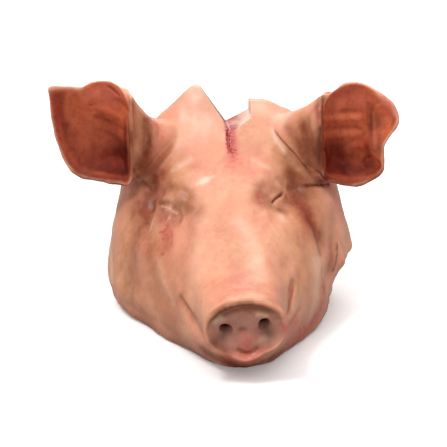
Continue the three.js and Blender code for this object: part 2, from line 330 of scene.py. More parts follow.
@dataclass(frozen=True)
class PhotoCamera:
    """The camera in front of the head, a little above it.

    Attributes:
        focal: focal length in pixels of a square picture.
        frame: the picture's side in pixels.
        elevation: how far the camera looks down, in degrees.
        distance: from the camera to what it is aimed at.
        aim: the point in the middle of the picture.
    """

    focal: float = 1150.0
    frame: int = 447
    elevation: float = 18.2
    distance: float = 1150.0
    aim: Point = (-2.6, 0.0, 110.0)

    def backwards(self) -> Vector:
        """The direction from the aim to the camera."""
        tilt = math.radians(self.elevation)
        return Vector((0.0, -math.cos(tilt), math.sin(tilt)))

    def build(self) -> bpy.types.Object:
        """Makes it the scene's camera.

        Returns:
            The camera.
        """
        data = bpy.data.cameras.new("camera")
        data.sensor_width = 36.0
        data.sensor_fit = "HORIZONTAL"
        data.lens = 36.0 * self.focal / self.frame
        data.clip_start, data.clip_end = 0.05, 50.0
        camera = linked("camera", data)
        camera.location = (Vector(self.aim) + self.distance * self.backwards()) * MM
        camera.rotation_quaternion = self.backwards().to_track_quat("Z", "Y")
        bpy.context.scene.camera = camera
        return camera

    def ray(self, pixel: Pixel) -> tuple[Vector, Vector]:
        """The line of sight through a pixel.

        Args:
            pixel: across from the left and down from the top.

        Returns:
            Its start and direction, in millimetres.
        """
        back = self.backwards()
        right = Vector((1.0, 0.0, 0.0))
        up = back.cross(right)
        across = float(pixel[0] - self.frame / 2) / self.focal
        down = float(pixel[1] - self.frame / 2) / self.focal
        return Vector(self.aim) + self.distance * back, (across * right - down * up - back).normalized()


@dataclass(frozen=True)
class Swell:
    """A soft push of the skin round a point."""

    at: Point
    reach: Point
    push: Point

    def pushed(self, points: np.ndarray) -> np.ndarray:
        """How far it moves each point."""
        away = (points - np.array(self.at)) / np.array(self.reach)
        return np.exp(-(away**2).sum(axis=1))[:, None] * np.array(self.push)


@dataclass(frozen=True)
class Furrow:
    """A groove along points on the right side of the straight head, and its mirror image."""

    points: tuple[Point, ...]
    width: float
    depth: float


@dataclass(frozen=True)
class Section:
    """A cross-section of the straight head: half-widths and heights down one side."""

    y: float
    top: float
    crown: Pixel
    bridge: Pixel
    cheek: Pixel
    widest: Pixel
    jowl: Pixel
    base: Pixel
    keel: float

    def ring(self) -> np.ndarray:
        """Its points from the top round the right side, the bottom and the left side.

        Returns:
            One point a row.
        """
        side = [self.crown, self.bridge, self.cheek, self.widest, self.jowl, self.base]
        half = [(0.0, self.top), *side, (0.0, self.keel)]
        mirrored = [(-w, z) for w, z in reversed(side)]
        return np.array([(w, self.y, z) for w, z in half + mirrored])


@dataclass(frozen=True)
class Mound:
    """A soft mound, or with a height below 0 a hollow, on the snout's disc."""

    at: Pixel
    half: Pixel
    height: float


@dataclass(frozen=True)
class DiscFace:
    """The relief of the snout's disc: a bowl in a rolled rim, lips round the nostrils and a split lip."""

    bowl_depth: float = 4.2
    bowl_at: float = 0.8
    bowl_width: float = 0.13
    mounds: tuple[Mound, ...] = (
        Mound((-17, 9), (9, 6), 2.6),
        Mound((17, 9), (9, 6), 2.6),
        Mound((-26, 0), (5, 9), 1.6),
        Mound((26, -1), (5, 9), 1.6),
        Mound((-17.5, -4), (7, 9), -5.6),
        Mound((17.5, -4), (7, 9), -5.6),
        Mound((0, 9), (9, 8), 2.6),
        Mound((-2, -2), (3.6, 3.6), -2.8),
        Mound((1, -12), (8, 5.5), 3.2),
        Mound((-10, -12), (3.5, 6), -1.4),
        Mound((12, -12), (3.5, 6), -1.4),
        Mound((0, -27), (13, 3.2), 2.4),
    )
    slit: tuple[Pixel, ...] = ((-8, -20.5), (0, -22.5), (8, -21))
    slit_width: float = 1.5
    slit_depth: float = 3.6

    def relief(self, across: np.ndarray, up: np.ndarray, share: np.ndarray) -> np.ndarray:
        """How far the disc stands forward of its plain shape.

        Args:
            across: how far right of its middle.
            up: how far above its middle.
            share: how far out, 1 at its edge.

        Returns:
            Millimetres forward.
        """
        deeper = 0.62 + 0.38 * np.tanh(up / 12)
        lift = -self.bowl_depth * deeper * np.exp(-(((share - self.bowl_at) / self.bowl_width) ** 2))
        for mound in self.mounds:
            away = ((across - mound.at[0]) / mound.half[0]) ** 2 + ((up - mound.at[1]) / mound.half[1]) ** 2
            lift = lift + mound.height * np.exp(-away)
        flat = np.stack([across.ravel(), np.zeros(across.size), up.ravel()], axis=1)
        line = np.array([(x, 0.0, z) for x, z in self.slit])
        near = nearest_on_line(flat, line).distance.reshape(across.shape)
        return lift - self.slit_depth * np.exp(-((near / self.slit_width) ** 2))


@dataclass
class HeadForm:
    """The head without its ears, as a skin through cross-sections that is leant, rolled and swollen."""

    sections: tuple[Section, ...] = (
        Section(-131, 84, (20, 81), (33, 71), (37, 57), (34, 43), (24, 34), (12, 31), 30),
        Section(-122, 85, (20, 82), (34, 72), (38, 57), (37, 43), (30, 26), (18, 11), 7),
        Section(-105, 89, (20, 86), (35, 77), (41, 62), (42, 45), (40, 25), (26, 4), 2),
        Section(-85, 96, (20, 93), (36, 84), (45, 67), (51, 46), (51, 24), (38, 1), 0),
        Section(-62, 104, (20, 101), (38, 92), (53, 72), (62, 47), (64, 23), (54, 0), 0),
        Section(-35, 115, (22, 112), (43, 101), (64, 80), (78, 50), (80, 23), (72, 0), 0),
        Section(-8, 128, (28, 124), (52, 111), (78, 89), (95, 54), (96, 23), (87, 0), 0),
        Section(20, 146, (32, 142), (60, 127), (92, 100), (111, 58), (110, 24), (99, 0), 0),
        Section(48, 168, (36, 164), (68, 149), (102, 118), (123, 60), (120, 25), (105, 0), 0),
        Section(75, 193, (40, 188), (76, 171), (108, 134), (127, 64), (122, 27), (104, 0), 0),
        Section(98, 224, (38, 216), (80, 190), (111, 146), (125, 66), (117, 30), (98, 1), 1),
    )
    rings_between: tuple[int, ...] = (8, 14, 18, 20, 22, 24, 24, 24, 24, 22)
    steps_between: tuple[int, ...] = (26, 18, 26, 34, 26, 22, 18)
    roll: float = 9.0
    roll_from: float = 90.0
    roll_full: float = 15.0
    axis_y: tuple[float, ...] = (-145, -70, 0, 90)
    axis_x: tuple[float, ...] = (17, 11, 9, 2)
    axis_height: float = 60.0
    snout_lean: float = 0.16
    lean_from: float = -85.0
    lean_full: float = -128.0
    disc_height: float = 58.0
    disc_profile: tuple[Pixel, ...] = (
        (1, 0), (1, 2.5), (1.035, 5), (1.05, 8), (1.03, 12), (0.97, 14.5), (0.87, 13.5), (0.6, 12),
        (0.3, 11.5), (0.04, 11.5),
    )
    disc_face: DiscFace = DiscFace()
    disc_sunk: float = 11.5
    disc_reach: float = 60.0
    disc_relief: Range = (10.0, 13.0)
    disc_front: Range = (16.0, 9.0)
    disc_edge: Range = (0.8, 3.2)
    rim_scale: float = 0.975
    rim_forward: float = 14.3
    neck_cut: float = 106.0
    neck_slope: float = 0.03
    neck_middle: Point = (0.0, 106.0, 96.0)
    paired_swells: tuple[Swell, ...] = (
        Swell((40, 34, 150), (20, 22, 20), (1, -3, 3)),
        Swell((56, 10, 118), (16, 15, 12), (-4, 3, -2)),
        Swell((80, -8, 92), (22, 30, 20), (3, -2, 1)),
        Swell((52, -72, 66), (14, 14, 14), (3, 0, 1)),
        Swell((0, -20, 120), (12, 50, 14), (0, 0, -1.5)),
        Swell((0, -140, 30), (13, 16, 9), (0, 0, -6.5)),
    )
    furrows: tuple[Furrow, ...] = (
        Furrow(
            ((0, -135, 25), (20, -131, 27), (34, -119, 34), (43, -101, 46), (48, -85, 56), (52, -70, 63)),
            4.5,
            4.5,
        ),
        Furrow(((46, 8, 121), (54, 12, 124), (63, 18, 130)), 4.5, 2.5),
    )
    swells: tuple[Swell, ...] = (
        Swell((0, -20, 0), (400, 90, 34), (-7, 0, 0)),
        Swell((128, 84, 66), (60, 30, 36), (5, 0, 0)),
        Swell((112, 52, 38), (40, 12, 30), (-8, 0, 0)),
        Swell((126, 61, 40), (60, 42, 18), (-32, 0, 0)),
        Swell((126, 35, 3), (60, 48, 19), (-9, 0, 0)),
        Swell((126, 55, 57), (60, 27, 12), (11, 0, 0)),
        Swell((-126, 29, 1), (60, 22, 12), (5.5, 0, 0)),
        Swell((-126, 75, 22), (60, 47, 19), (-1, 0, 0)),
        Swell((-126, -18, 5), (60, 36, 12), (9.5, 0, 0)),
        Swell((-80, 34, 119), (16, 20, 22), (3.5, 4, -1)),
        Swell((75, 24, 128), (16, 18, 20), (-3, 4, -1)),
        Swell((-75, -28, 6), (40, 40, 18), (4, 6, 0)),
        Swell((-36, -74, 4), (34, 34, 18), (4, 10, 0)),
        Swell((-118, 60, 142), (30, 50, 18), (2.5, 0, 0)),
        Swell((114, 60, 148), (30, 50, 14), (-2.5, 0, 0)),
        Swell((-122, 30, 26), (60, 60, 30), (-5, 0, 0)),
        Swell((-112, 56, 122), (30, 60, 22), (5, 0, 0)),
        Swell((-38, 106, 228), (22, 24, 30), (0, 0, 13.5)),
        Swell((24, 106, 226), (15, 24, 30), (0, 0, -8)),
        Swell((58, 106, 212), (20, 24, 30), (0, 0, -1.5)),
    )

    def bent(self, points: np.ndarray) -> np.ndarray:
        """Gives points of the straight head its furrows and swells, and leans and rolls them.

        Args:
            points: points of the straight head.

        Returns:
            Where they lie on the head.
        """
        side = np.where(points[:, 0] < 0, -1.0, 1.0)
        right = points.astype(float)
        right[:, 0] = np.abs(points[:, 0])
        inwards = np.stack([-right[:, 0], np.zeros(len(right)), self.axis_height - right[:, 2]], axis=1)
        inwards /= np.maximum(np.linalg.norm(inwards, axis=1), 1e-6)[:, None]
        depth = np.zeros(len(right))
        for furrow in self.furrows:
            near = nearest_on_line(right, np.array(furrow.points, dtype=float)).distance
            depth += furrow.depth * np.exp(-((near / furrow.width) ** 2))
        p = right + sum(s.pushed(right) for s in self.paired_swells) + depth[:, None] * inwards
        p[:, 0] *= side
        y, z = points[:, 1], points[:, 2]
        p[:, 1] -= self.snout_lean * smooth(self.lean_from, self.lean_full, y) * (z - self.disc_height)
        rolled = smooth(self.roll_from, self.roll_full, y) * smooth(0, self.axis_height, z)
        turn = math.radians(self.roll) * rolled
        x, up = p[:, 0].copy(), p[:, 2] - self.axis_height
        p[:, 0] = x * np.cos(turn) - up * np.sin(turn) + np.interp(y, self.axis_y, self.axis_x)
        p[:, 2] = x * np.sin(turn) + up * np.cos(turn) + self.axis_height
        p = p + sum(s.pushed(p) for s in self.swells)
        p[:, 2] = np.maximum(p[:, 2], 0.0)
        return p

    def bent_shell(self, rings: np.ndarray, first: np.ndarray, last: np.ndarray) -> Shell:
        """Bends rings of the straight head, and the two points that shut them, to a closed skin."""
        placed = self.bent(np.concatenate([rings.reshape(-1, 3), [first, last]]))
        return Shell.from_rings(placed[:-2].reshape(rings.shape), placed[-2], placed[-1])

    def disc_rim(self) -> np.ndarray:
        """The foremost line of the rim round the snout's disc.

        Returns:
            Its points, the first one again at the end.
        """
        ring = catmull_rom(self.sections[0].ring(), 90, closed=True)
        middle = np.array([0.0, self.sections[0].y, self.disc_height])
        return self.bent(middle + self.rim_scale * (ring - middle) - [0, self.rim_forward, 0])

    def on_disc(self, across: float, up: float) -> np.ndarray:
        """A place on the bent disc of the snout, so far right of its middle and so far above it."""
        y = self.sections[0].y - self.disc_sunk
        return self.bent(np.array([[across, y, self.disc_height + up]]))[0]

    def mark_disc(self, points: np.ndarray, masks: Masks) -> None:
        """Marks the face of the snout's disc, inside its rim.

        Args:
            points: the head's points.
            masks: takes the mark.
        """
        middle = self.on_disc(0.0, 0.0)
        away = points - middle
        front = smooth(*self.disc_front, away[:, 1] + self.snout_lean * away[:, 2])
        close = np.flatnonzero((front > 0) & (np.linalg.norm(away, axis=1) < self.disc_reach))
        rim = nearest_on_line(points[close], self.disc_rim())
        places = (away[close], away[close] - rim.offset)
        out, rim_out = (np.hypot(place[:, 0], place[:, 2]) for place in places)
        face = front[close] * smooth(*self.disc_edge, rim.distance)
        masks.values[Mask.DISC][close] = face * (out < rim_out)

    def neck_outline(self) -> np.ndarray:
        """The border of the neck's cut.

        Returns:
            Its points, the first one again at the end.
        """
        ring = catmull_rom(self.sections[-1].ring(), 120, closed=True)
        ring[:, 1] = self.neck_cut + self.neck_slope * ring[:, 2]
        return self.bent(ring)

    def shell(self) -> Shell:
        """The head's skin from the middle of the snout's disc to the middle of the neck's cut.

        Returns:
            The closed skin.
        """
        spans = len(self.sections) - 1
        along = [(k + i / n) / spans for k, n in enumerate(self.rings_between) for i in range(n)] + [1.0]
        steps = list(self.steps_between) + list(self.steps_between)[::-1]
        around = np.array([(k + i / n) / len(steps) for k, n in enumerate(steps) for i in range(n)])
        corners = catmull_rom([section.ring() for section in self.sections], np.array(along))
        straight = catmull_rom(corners.swapaxes(0, 1), around, closed=True).swapaxes(0, 1)
        groove = straight[0]
        middle = np.array([0.0, self.sections[0].y, self.disc_height])
        profile = catmull_rom(self.disc_profile, 110)
        disc = np.stack([middle + scale * (groove - middle) - [0, out, 0] for scale, out in profile[1:]])
        share = np.broadcast_to(profile[1:, :1], disc.shape[:2])
        relief = self.disc_face.relief(disc[..., 0], disc[..., 2] - self.disc_height, share)
        disc[..., 1] -= relief * smooth(*self.disc_relief, profile[1:, 1])[:, None]
        back = straight[-1].copy()
        back[:, 1] = self.neck_cut + self.neck_slope * back[:, 2]
        edge = np.stack([straight[-1] + t * (back - straight[-1]) for t in (0.2, 0.4, 0.6, 0.8, 1.0)])
        neck = np.array(self.neck_middle)
        cut = np.stack([neck + scale * (back - neck) for scale in np.linspace(0.985, 0.015, 70)])
        cut[..., 1] = self.neck_cut + self.neck_slope * cut[..., 2]
        rings = np.concatenate([disc[::-1], straight, edge, cut])
        snout_end = middle - [0, self.disc_profile[-1][1], 0]
        return self.bent_shell(rings, snout_end, neck + [0, self.neck_slope * neck[2], 0])


@dataclass
class Nostrils:
    """The two holes in the snout's disc, tapering inwards."""

    form: HeadForm
    apart: float = 34.0
    width: float = 10.5
    height: float = 16.0
    depth: float = 22.0
    rise: float = 6.0
    lean: float = 12.0
    overhang: float = 12.0
    taper: float = 0.45
    narrowing: float = 0.42
    flare: float = 0.18
    steps: int = 48
    rings: int = 18
    # How deep into a hole its painted shade begins and is full, and how far out from its middle the shade
    # fades.
    dark: Range = (3.0, 12.0)
    round_about: Range = (12.0, 9.0)

    def mark(self, points: np.ndarray, masks: Masks) -> None:
        """Paints shade into the insides of the holes, from a little way in.

        Args:
            points: the head's points.
            masks: takes the marks.
        """
        for side in (-1, 1):
            hole = points - self.form.on_disc(side * self.apart / 2, 4.0)
            deep = smooth(*self.dark, hole[:, 1]) * (hole[:, 1] < self.depth + 8)
            masks.add(Mask.CAVITY_SHADE, smooth(*self.round_about, np.hypot(hole[:, 0], hole[:, 2])) * deep)

    def shell(self, side: int) -> Shell:
        """One hole as a solid to cut away.

        Args:
            side: -1 for the left one, 1 for the right one.

        Returns:
            The solid.
        """
        turn = np.linspace(0, 2 * np.pi, self.steps, endpoint=False)
        tilt = math.radians(-side * self.lean)
        grid = np.empty((self.rings, self.steps, 3))
        for ring, inward in zip(grid, np.linspace(-self.overhang, self.depth, self.rings)):
            scale = 0.5 * (1 - self.taper * smooth(8, self.depth + 4, inward))
            across = scale * self.width * np.cos(turn) * (1 + self.flare * np.sin(turn))
            up = scale * (1 - self.narrowing * smooth(0, 9, inward)) * self.height * np.sin(turn)
            ring[:, 0] = side * self.apart / 2 + across * math.cos(tilt) - up * math.sin(tilt)
            ring[:, 1] = self.form.sections[0].y - self.form.disc_sunk + inward
            ring[:, 2] = self.form.disc_height + self.rise * smooth(0, 10, inward)
            ring[:, 2] += across * math.sin(tilt) + up * math.cos(tilt)
        return self.form.bent_shell(grid, *grid[[0, -1]].mean(axis=1))


@dataclass
class NapeSplit:
    """The V that is cut down the nape, its right side a slope of meat up to the thickness of the skin."""

    front: Point = (4, 72, 187)
    back: Point = (0, 107, 189.5)
    right_ledge: Point = (24, 107, 202)
    right_top: Point = (27, 107, 283)
    left_top: Point = (-67, 107, 283)
    reach: Point = (-1.5, -0.5, 0.6)
    wall_gap: Range = (2.0, 1.0)
    wall_facing: Range = (0.6, 0.85)
    wall_ends: Range = (-0.03, 1.03)
    near_gap: Range = (7.0, 3.0)
    near_corner: Point = (60, 60, 172)

    def along(self) -> np.ndarray:
        """The bottom of the cut from front to back."""
        return np.array(self.back, dtype=float) - self.front

    def shell(self) -> Shell:
        """The wedge to cut away.

        Returns:
            The solid.
        """
        profile = np.array([self.back, self.right_ledge, self.right_top, self.left_top], dtype=float)
        rings = np.stack([profile + share * self.along() for share in self.reach])
        return Shell.from_rings(rings, rings[0].mean(axis=0), rings[-1].mean(axis=0))

    def walls(self) -> list[tuple[np.ndarray, np.ndarray, np.ndarray]]:
        """The wedge's cut faces.

        Returns:
            A point of each face, the way up it and the direction out of the meat.
        """
        found = []
        for foot, top, inside in (
            (self.back, self.right_ledge, (-1, 0, 0.3)),
            (self.right_ledge, self.right_top, (-1, 0, 0)),
            (self.back, self.left_top, (1, 0, 0.3)),
        ):
            rise = np.array(top, dtype=float) - foot
            normal = np.cross(self.along(), rise)
            normal *= np.sign(normal @ np.array(inside)) / np.linalg.norm(normal)
            found.append((np.array(foot, dtype=float), rise / (rise @ rise), normal))
        return found

    def on_walls(self, points: np.ndarray, normals: np.ndarray) -> tuple[np.ndarray, np.ndarray]:
        """Finds the points on the cut's walls.

        Args:
            points: the head's points.
            normals: its directions outwards.

        Returns:
            A mask, and how far each point is from the bottom of the cut.
        """
        mask = np.zeros(len(points))
        behind = points[:, 1] > self.front[1] - 6
        for foot, rise, out in self.walls():
            up = (points - foot) @ rise
            within = behind * (up > self.wall_ends[0]) * (up < self.wall_ends[1])
            close = smooth(*self.wall_gap, np.abs((points - foot) @ out))
            mask = np.maximum(mask, close * smooth(*self.wall_facing, normals @ out) * within)
        return mask, self.depth(points)

    def depth(self, points: np.ndarray) -> np.ndarray:
        """How far each point is from the line at the bottom of the cut."""
        away, along = points - np.array(self.back), self.along() / np.linalg.norm(self.along())
        return np.linalg.norm(away - (away @ along)[:, None] * along, axis=1)

    def near(self, points: np.ndarray) -> np.ndarray:
        """Finds the points close to the cut's walls.

        Args:
            points: the head's points.

        Returns:
            A mask that is 1 there.
        """
        gap = np.min([np.abs((points - foot) @ out) for foot, _, out in self.walls()], axis=0)
        half, y, z = self.near_corner
        within = (points[:, 1] > y) * (points[:, 2] > z) * (np.abs(points[:, 0]) < half)
        return smooth(*self.near_gap, gap) * within


@dataclass
class Ear:
    """A leaf-shaped cup with a rolled rim, on a stump of gristle.

    Attributes:
        canal: the deepest point of the cup.
        rim: x, y and z of points of its edge, and the ear's thickness there.
        stump: how far out each section of the stump is, its middle's y and z, and its half-sizes.
    """

    canal: Point
    rim: tuple[tuple[float, ...], ...]
    stump: tuple[tuple[float, ...], ...]
    root_thickness: float = 11.0
    hollow: float = 2.2
    edge_blunt: float = 0.985
    edge_round: float = 2.4
    rows: int = 70
    edge_rows: int = 40
    steps: int = 300
    # Where painted shade gathers towards the canal: in the corner beside the head and low in the cup, and
    # how strong each is.
    corner_out: Range = (34.0, -8.0)
    corner_up: Range = (34.0, -2.0)
    corner_shade: float = 0.8
    floor_up: Range = (26.0, -14.0)
    floor_shade: float = 0.55
    root_out: Range = (40.0, 56.0)
    root_end: Range = (100.0, 90.0)
    root_up: Range = (124.0, 136.0)
    root_back: Range = (28.0, 40.0)
    root_melt: float = 0.85
    seam_out: float = 112.0
    seam_gap: Range = (11.0, 5.0)

    @property
    def side(self) -> float:
        """1 for the ear on the right, -1 for the one on the left."""
        return math.copysign(1.0, self.canal[0])

    def edge(self) -> tuple[np.ndarray, np.ndarray]:
        """The rim in even steps.

        Returns:
            Its points, and the ear's thickness at each.
        """
        fine = catmull_rom(self.rim, 4 * self.steps, closed=True)
        reach = reached(fine[:, :3])
        places = np.linspace(0, reach[-1], self.steps, endpoint=False)
        even = np.stack([np.interp(places, reach, fine[:, k]) for k in range(4)], axis=1)
        return even[:, :3], even[:, 3]

    def inner(self, share: np.ndarray, edge: np.ndarray) -> np.ndarray:
        """Points of the inside of the cup.

        Args:
            share: how far out from the canal, 0 to 1.
            edge: the rim's points.

        Returns:
            One ring for each share.
        """
        centre = np.array(self.canal, dtype=float)
        rings = centre + share[:, None, None] * (edge - centre)
        rings[..., 1] = centre[1] + (share**self.hollow)[:, None] * (edge[:, 1] - centre[1])
        return rings

    def roll_share(self, edge: np.ndarray, thick: np.ndarray) -> np.ndarray:
        """How much of the way from canal to rim the rolled rim takes."""
        return 0.95 * thick / np.linalg.norm(edge - np.array(self.canal), axis=1)

    def cup(self) -> Shell:
        """The cup's inner face, rim and outer face as one skin.

        Returns:
            The closed skin.
        """
        edge, rim_thick = self.edge()
        share = np.concatenate([np.linspace(0.02, 0.84, self.rows), np.linspace(0.85, 1.0, self.edge_rows)])
        inner = self.inner(share, edge)
        around = np.roll(inner, -1, axis=1) - np.roll(inner, 1, axis=1)
        across = inner - np.concatenate([np.broadcast_to(self.canal, inner[:1].shape), inner[:-1]])
        normal = np.cross(across, around)
        normal /= np.maximum(np.linalg.norm(normal, axis=2, keepdims=True), 1e-9)
        normal *= np.where(normal[..., 1:2] < 0, -1.0, 1.0)
        thick = self.root_thickness + (rim_thick[None] - self.root_thickness) * np.sqrt(share)[:, None]
        roll = self.roll_share(edge, rim_thick)[None]
        late = np.clip((share[:, None] - (1 - roll)) / roll, 0, 1)
        half = 0.5 * thick * np.sqrt(np.maximum(1 - self.edge_blunt * late**self.edge_round, 0))
        middle = inner + (0.5 * thick)[..., None] * normal
        away = half[..., None] * normal
        rings = np.concatenate([middle - away, (middle + away)[::-1]])
        behind = np.array(self.canal) + [0, self.root_thickness, 0]
        return Shell.from_rings(rings, self.canal, behind)

    def stump_shell(self) -> Shell:
        """The stump between the side of the head and the cup's inner edge.

        Returns:
            The closed skin.
        """
        fine = catmull_rom(self.stump, 40)
        turn = np.linspace(0, 2 * np.pi, 120, endpoint=False)
        rings = np.empty((len(fine), len(turn), 3))
        for ring, (out, y, z, half_y, half_z) in zip(rings, fine):
            ring[:, 0] = self.side * out
            ring[:, 1] = y + half_y * np.cos(turn)
            ring[:, 2] = z + half_z * np.sin(turn)
        return Shell.from_rings(rings, rings[0].mean(axis=0), rings[-1].mean(axis=0))

    def inside(self, points: np.ndarray) -> tuple[np.ndarray, np.ndarray]:
        """Tells which points lie on the inside of the cup.

        Args:
            points: the head's points.

        Returns:
            A mask, 1 on the inside, and how far out from the canal each point is, 0 to 1.
        """
        edge, thick = self.edge()
        dx, dz = points[:, 0] - self.canal[0], points[:, 2] - self.canal[2]
        ex, ez = edge[:, 0] - self.canal[0], edge[:, 2] - self.canal[2]
        angle = np.arctan2(ez, ex)
        order = np.argsort(angle)
        turn = np.arctan2(dz, dx)

        def at_turn(values: np.ndarray) -> np.ndarray:
            """Looks a value of the rim up at each point's angle."""
            return np.interp(turn, angle[order], values[order], period=2 * np.pi)

        share = np.hypot(dx, dz) / at_turn(np.hypot(ex, ez))
        roll = at_turn(self.roll_share(edge, thick))
        floor = self.canal[1] + np.clip(share, 0, 1) ** self.hollow * (at_turn(edge[:, 1]) - self.canal[1])
        start = 1 - 0.45 * roll
        close = smooth(floor + 4.5, floor + 2.0, points[:, 1])
        return smooth(start + 0.4 * roll, start, share) * close, np.clip(share, 0, 1)

    def root_zone(self, points: np.ndarray) -> np.ndarray:
        """Where the cup, the stump and the head grow into one another.

        Args:
            points: the head's points.

        Returns:
            How much of the melting each point takes.
        """
        edge, _ = self.edge()
        near_head = edge[self.side * edge[:, 0] < self.seam_out]
        away = near_head - np.array(self.canal)
        order = np.argsort(np.arctan2(away[:, 2], self.side * away[:, 0]) % (2 * np.pi))
        x, y, z = self.side * points[:, 0], points[:, 1], points[:, 2]
        zone = smooth(*self.root_out, x) * smooth(*self.root_end, x)
        zone = zone * smooth(*self.root_up, z) * smooth(*self.root_back, y)
        close = np.flatnonzero((x > 78) & (x < self.seam_out + 14) & (z > self.root_up[0]))
        seam = np.zeros(len(points))
        seam[close] = smooth(*self.seam_gap, nearest_on_line(points[close], near_head[order][::3]).distance)
        return np.maximum(self.root_melt * zone, seam)

    def mark(self, points: np.ndarray, masks: Masks) -> None:
        """Marks the inside of the cup, and the painted shade that darkens it towards the canal.

        Args:
            points: the head's points.
            masks: takes the marks.
        """
        inside, share = self.inside(points)
        out, rise = self.side * (points[:, 0] - self.canal[0]), points[:, 2] - self.canal[2]
        corner = smooth(*self.corner_out, out) * smooth(*self.corner_up, rise)
        deep = self.corner_shade * corner + self.floor_shade * smooth(*self.floor_up, rise)
        masks.add(Mask.EAR, inside)
        masks.add(Mask.CANAL_SHADE, inside * np.clip(deep, 0, 1) * smooth(1.0, 0.7, share))


LEFT_EAR = Ear(
    canal=(-113, 84, 160),
    stump=(
        (48, 90, 170, 18, 20), (66, 79, 170, 24, 27), (80, 70, 171.5, 26, 32.5),
        (90, 65, 177, 27.5, 39), (96.5, 64, 183, 25, 43), (103, 80, 187, 13.5, 43),
        (112, 88, 188, 6.5, 39), (118, 92, 184, 4.5, 30),
    ),
    rim=(
        (-100.5, 44, 139.5, 5.5), (-97, 37, 165, 6), (-96.5, 43.7, 187.8, 6), (-97.5, 56, 206, 5.5),
        (-102, 66.5, 221, 5), (-109.5, 74, 233, 4.5), (-119, 78, 238, 4), (-132, 80, 238.5, 4),
        (-144, 81, 234.5, 4), (-152, 81, 232, 4), (-168, 78.5, 233.7, 4), (-182.5, 75, 233, 4),
        (-182.5, 74.5, 222, 4), (-179.5, 72, 196, 4), (-173.5, 67, 173, 4), (-164, 63, 153, 4.5),
        (-153, 60, 143.5, 5), (-134, 55, 140, 5.5), (-121, 50, 139.5, 6), (-110, 47, 139, 6),
    ),
)
RIGHT_EAR = Ear(
    canal=(114, 84, 160),
    stump=(
        (48, 90, 172, 18, 22), (66, 79, 174, 24, 32), (80, 70, 176, 26, 38),
        (90, 65, 179.5, 27.5, 41.5), (96.5, 63, 183, 25, 43), (103, 80, 185.5, 13.5, 42),
        (112, 88, 187, 6.5, 38), (118, 92, 183, 4.5, 30),
    ),
    rim=(
        (101.5, 43, 143.5, 5.5), (98, 37, 165, 6), (97.5, 43.2, 188, 6), (98.5, 56, 206, 5.5),
        (102, 65, 219.5, 5), (110, 72.5, 229, 4.5), (121, 77, 234.5, 4), (131, 79, 236.3, 4),
        (144, 79, 234, 4), (157.5, 71, 227.5, 5), (169, 61.5, 218.5, 6), (174.5, 55, 207.5, 6),
        (172.5, 51, 198.5, 5), (164, 47, 187, 4.5), (159.3, 45, 177, 4.5), (160, 48, 160, 5),
        (158.5, 50, 148.5, 5.5), (147, 53, 139, 6), (135, 53, 135.5, 6), (124, 50, 137, 6.5),
        (112, 46, 140.5, 6),
    ),
)


@dataclass(frozen=True)
class Lobe:
    """A bundle of muscle in the neck's cut, and its mirror image."""

    at: Pixel
    half: Pixel
    turn: float = 0.0

    def depth(self, x: np.ndarray, z: np.ndarray) -> np.ndarray:
        """How far inside the bundle a place is, 1 at its middle and 0 at its edge.

        Args:
            x: how far across.
            z: how high.

        Returns:
            The share, below 0 outside.
        """
        c, s = math.cos(math.radians(self.turn)), math.sin(math.radians(self.turn))
        dx, dz = np.abs(x) - self.at[0], z - self.at[1]
        return 1 - np.hypot((dx * c + dz * s) / self.half[0], (dz * c - dx * s) / self.half[1])


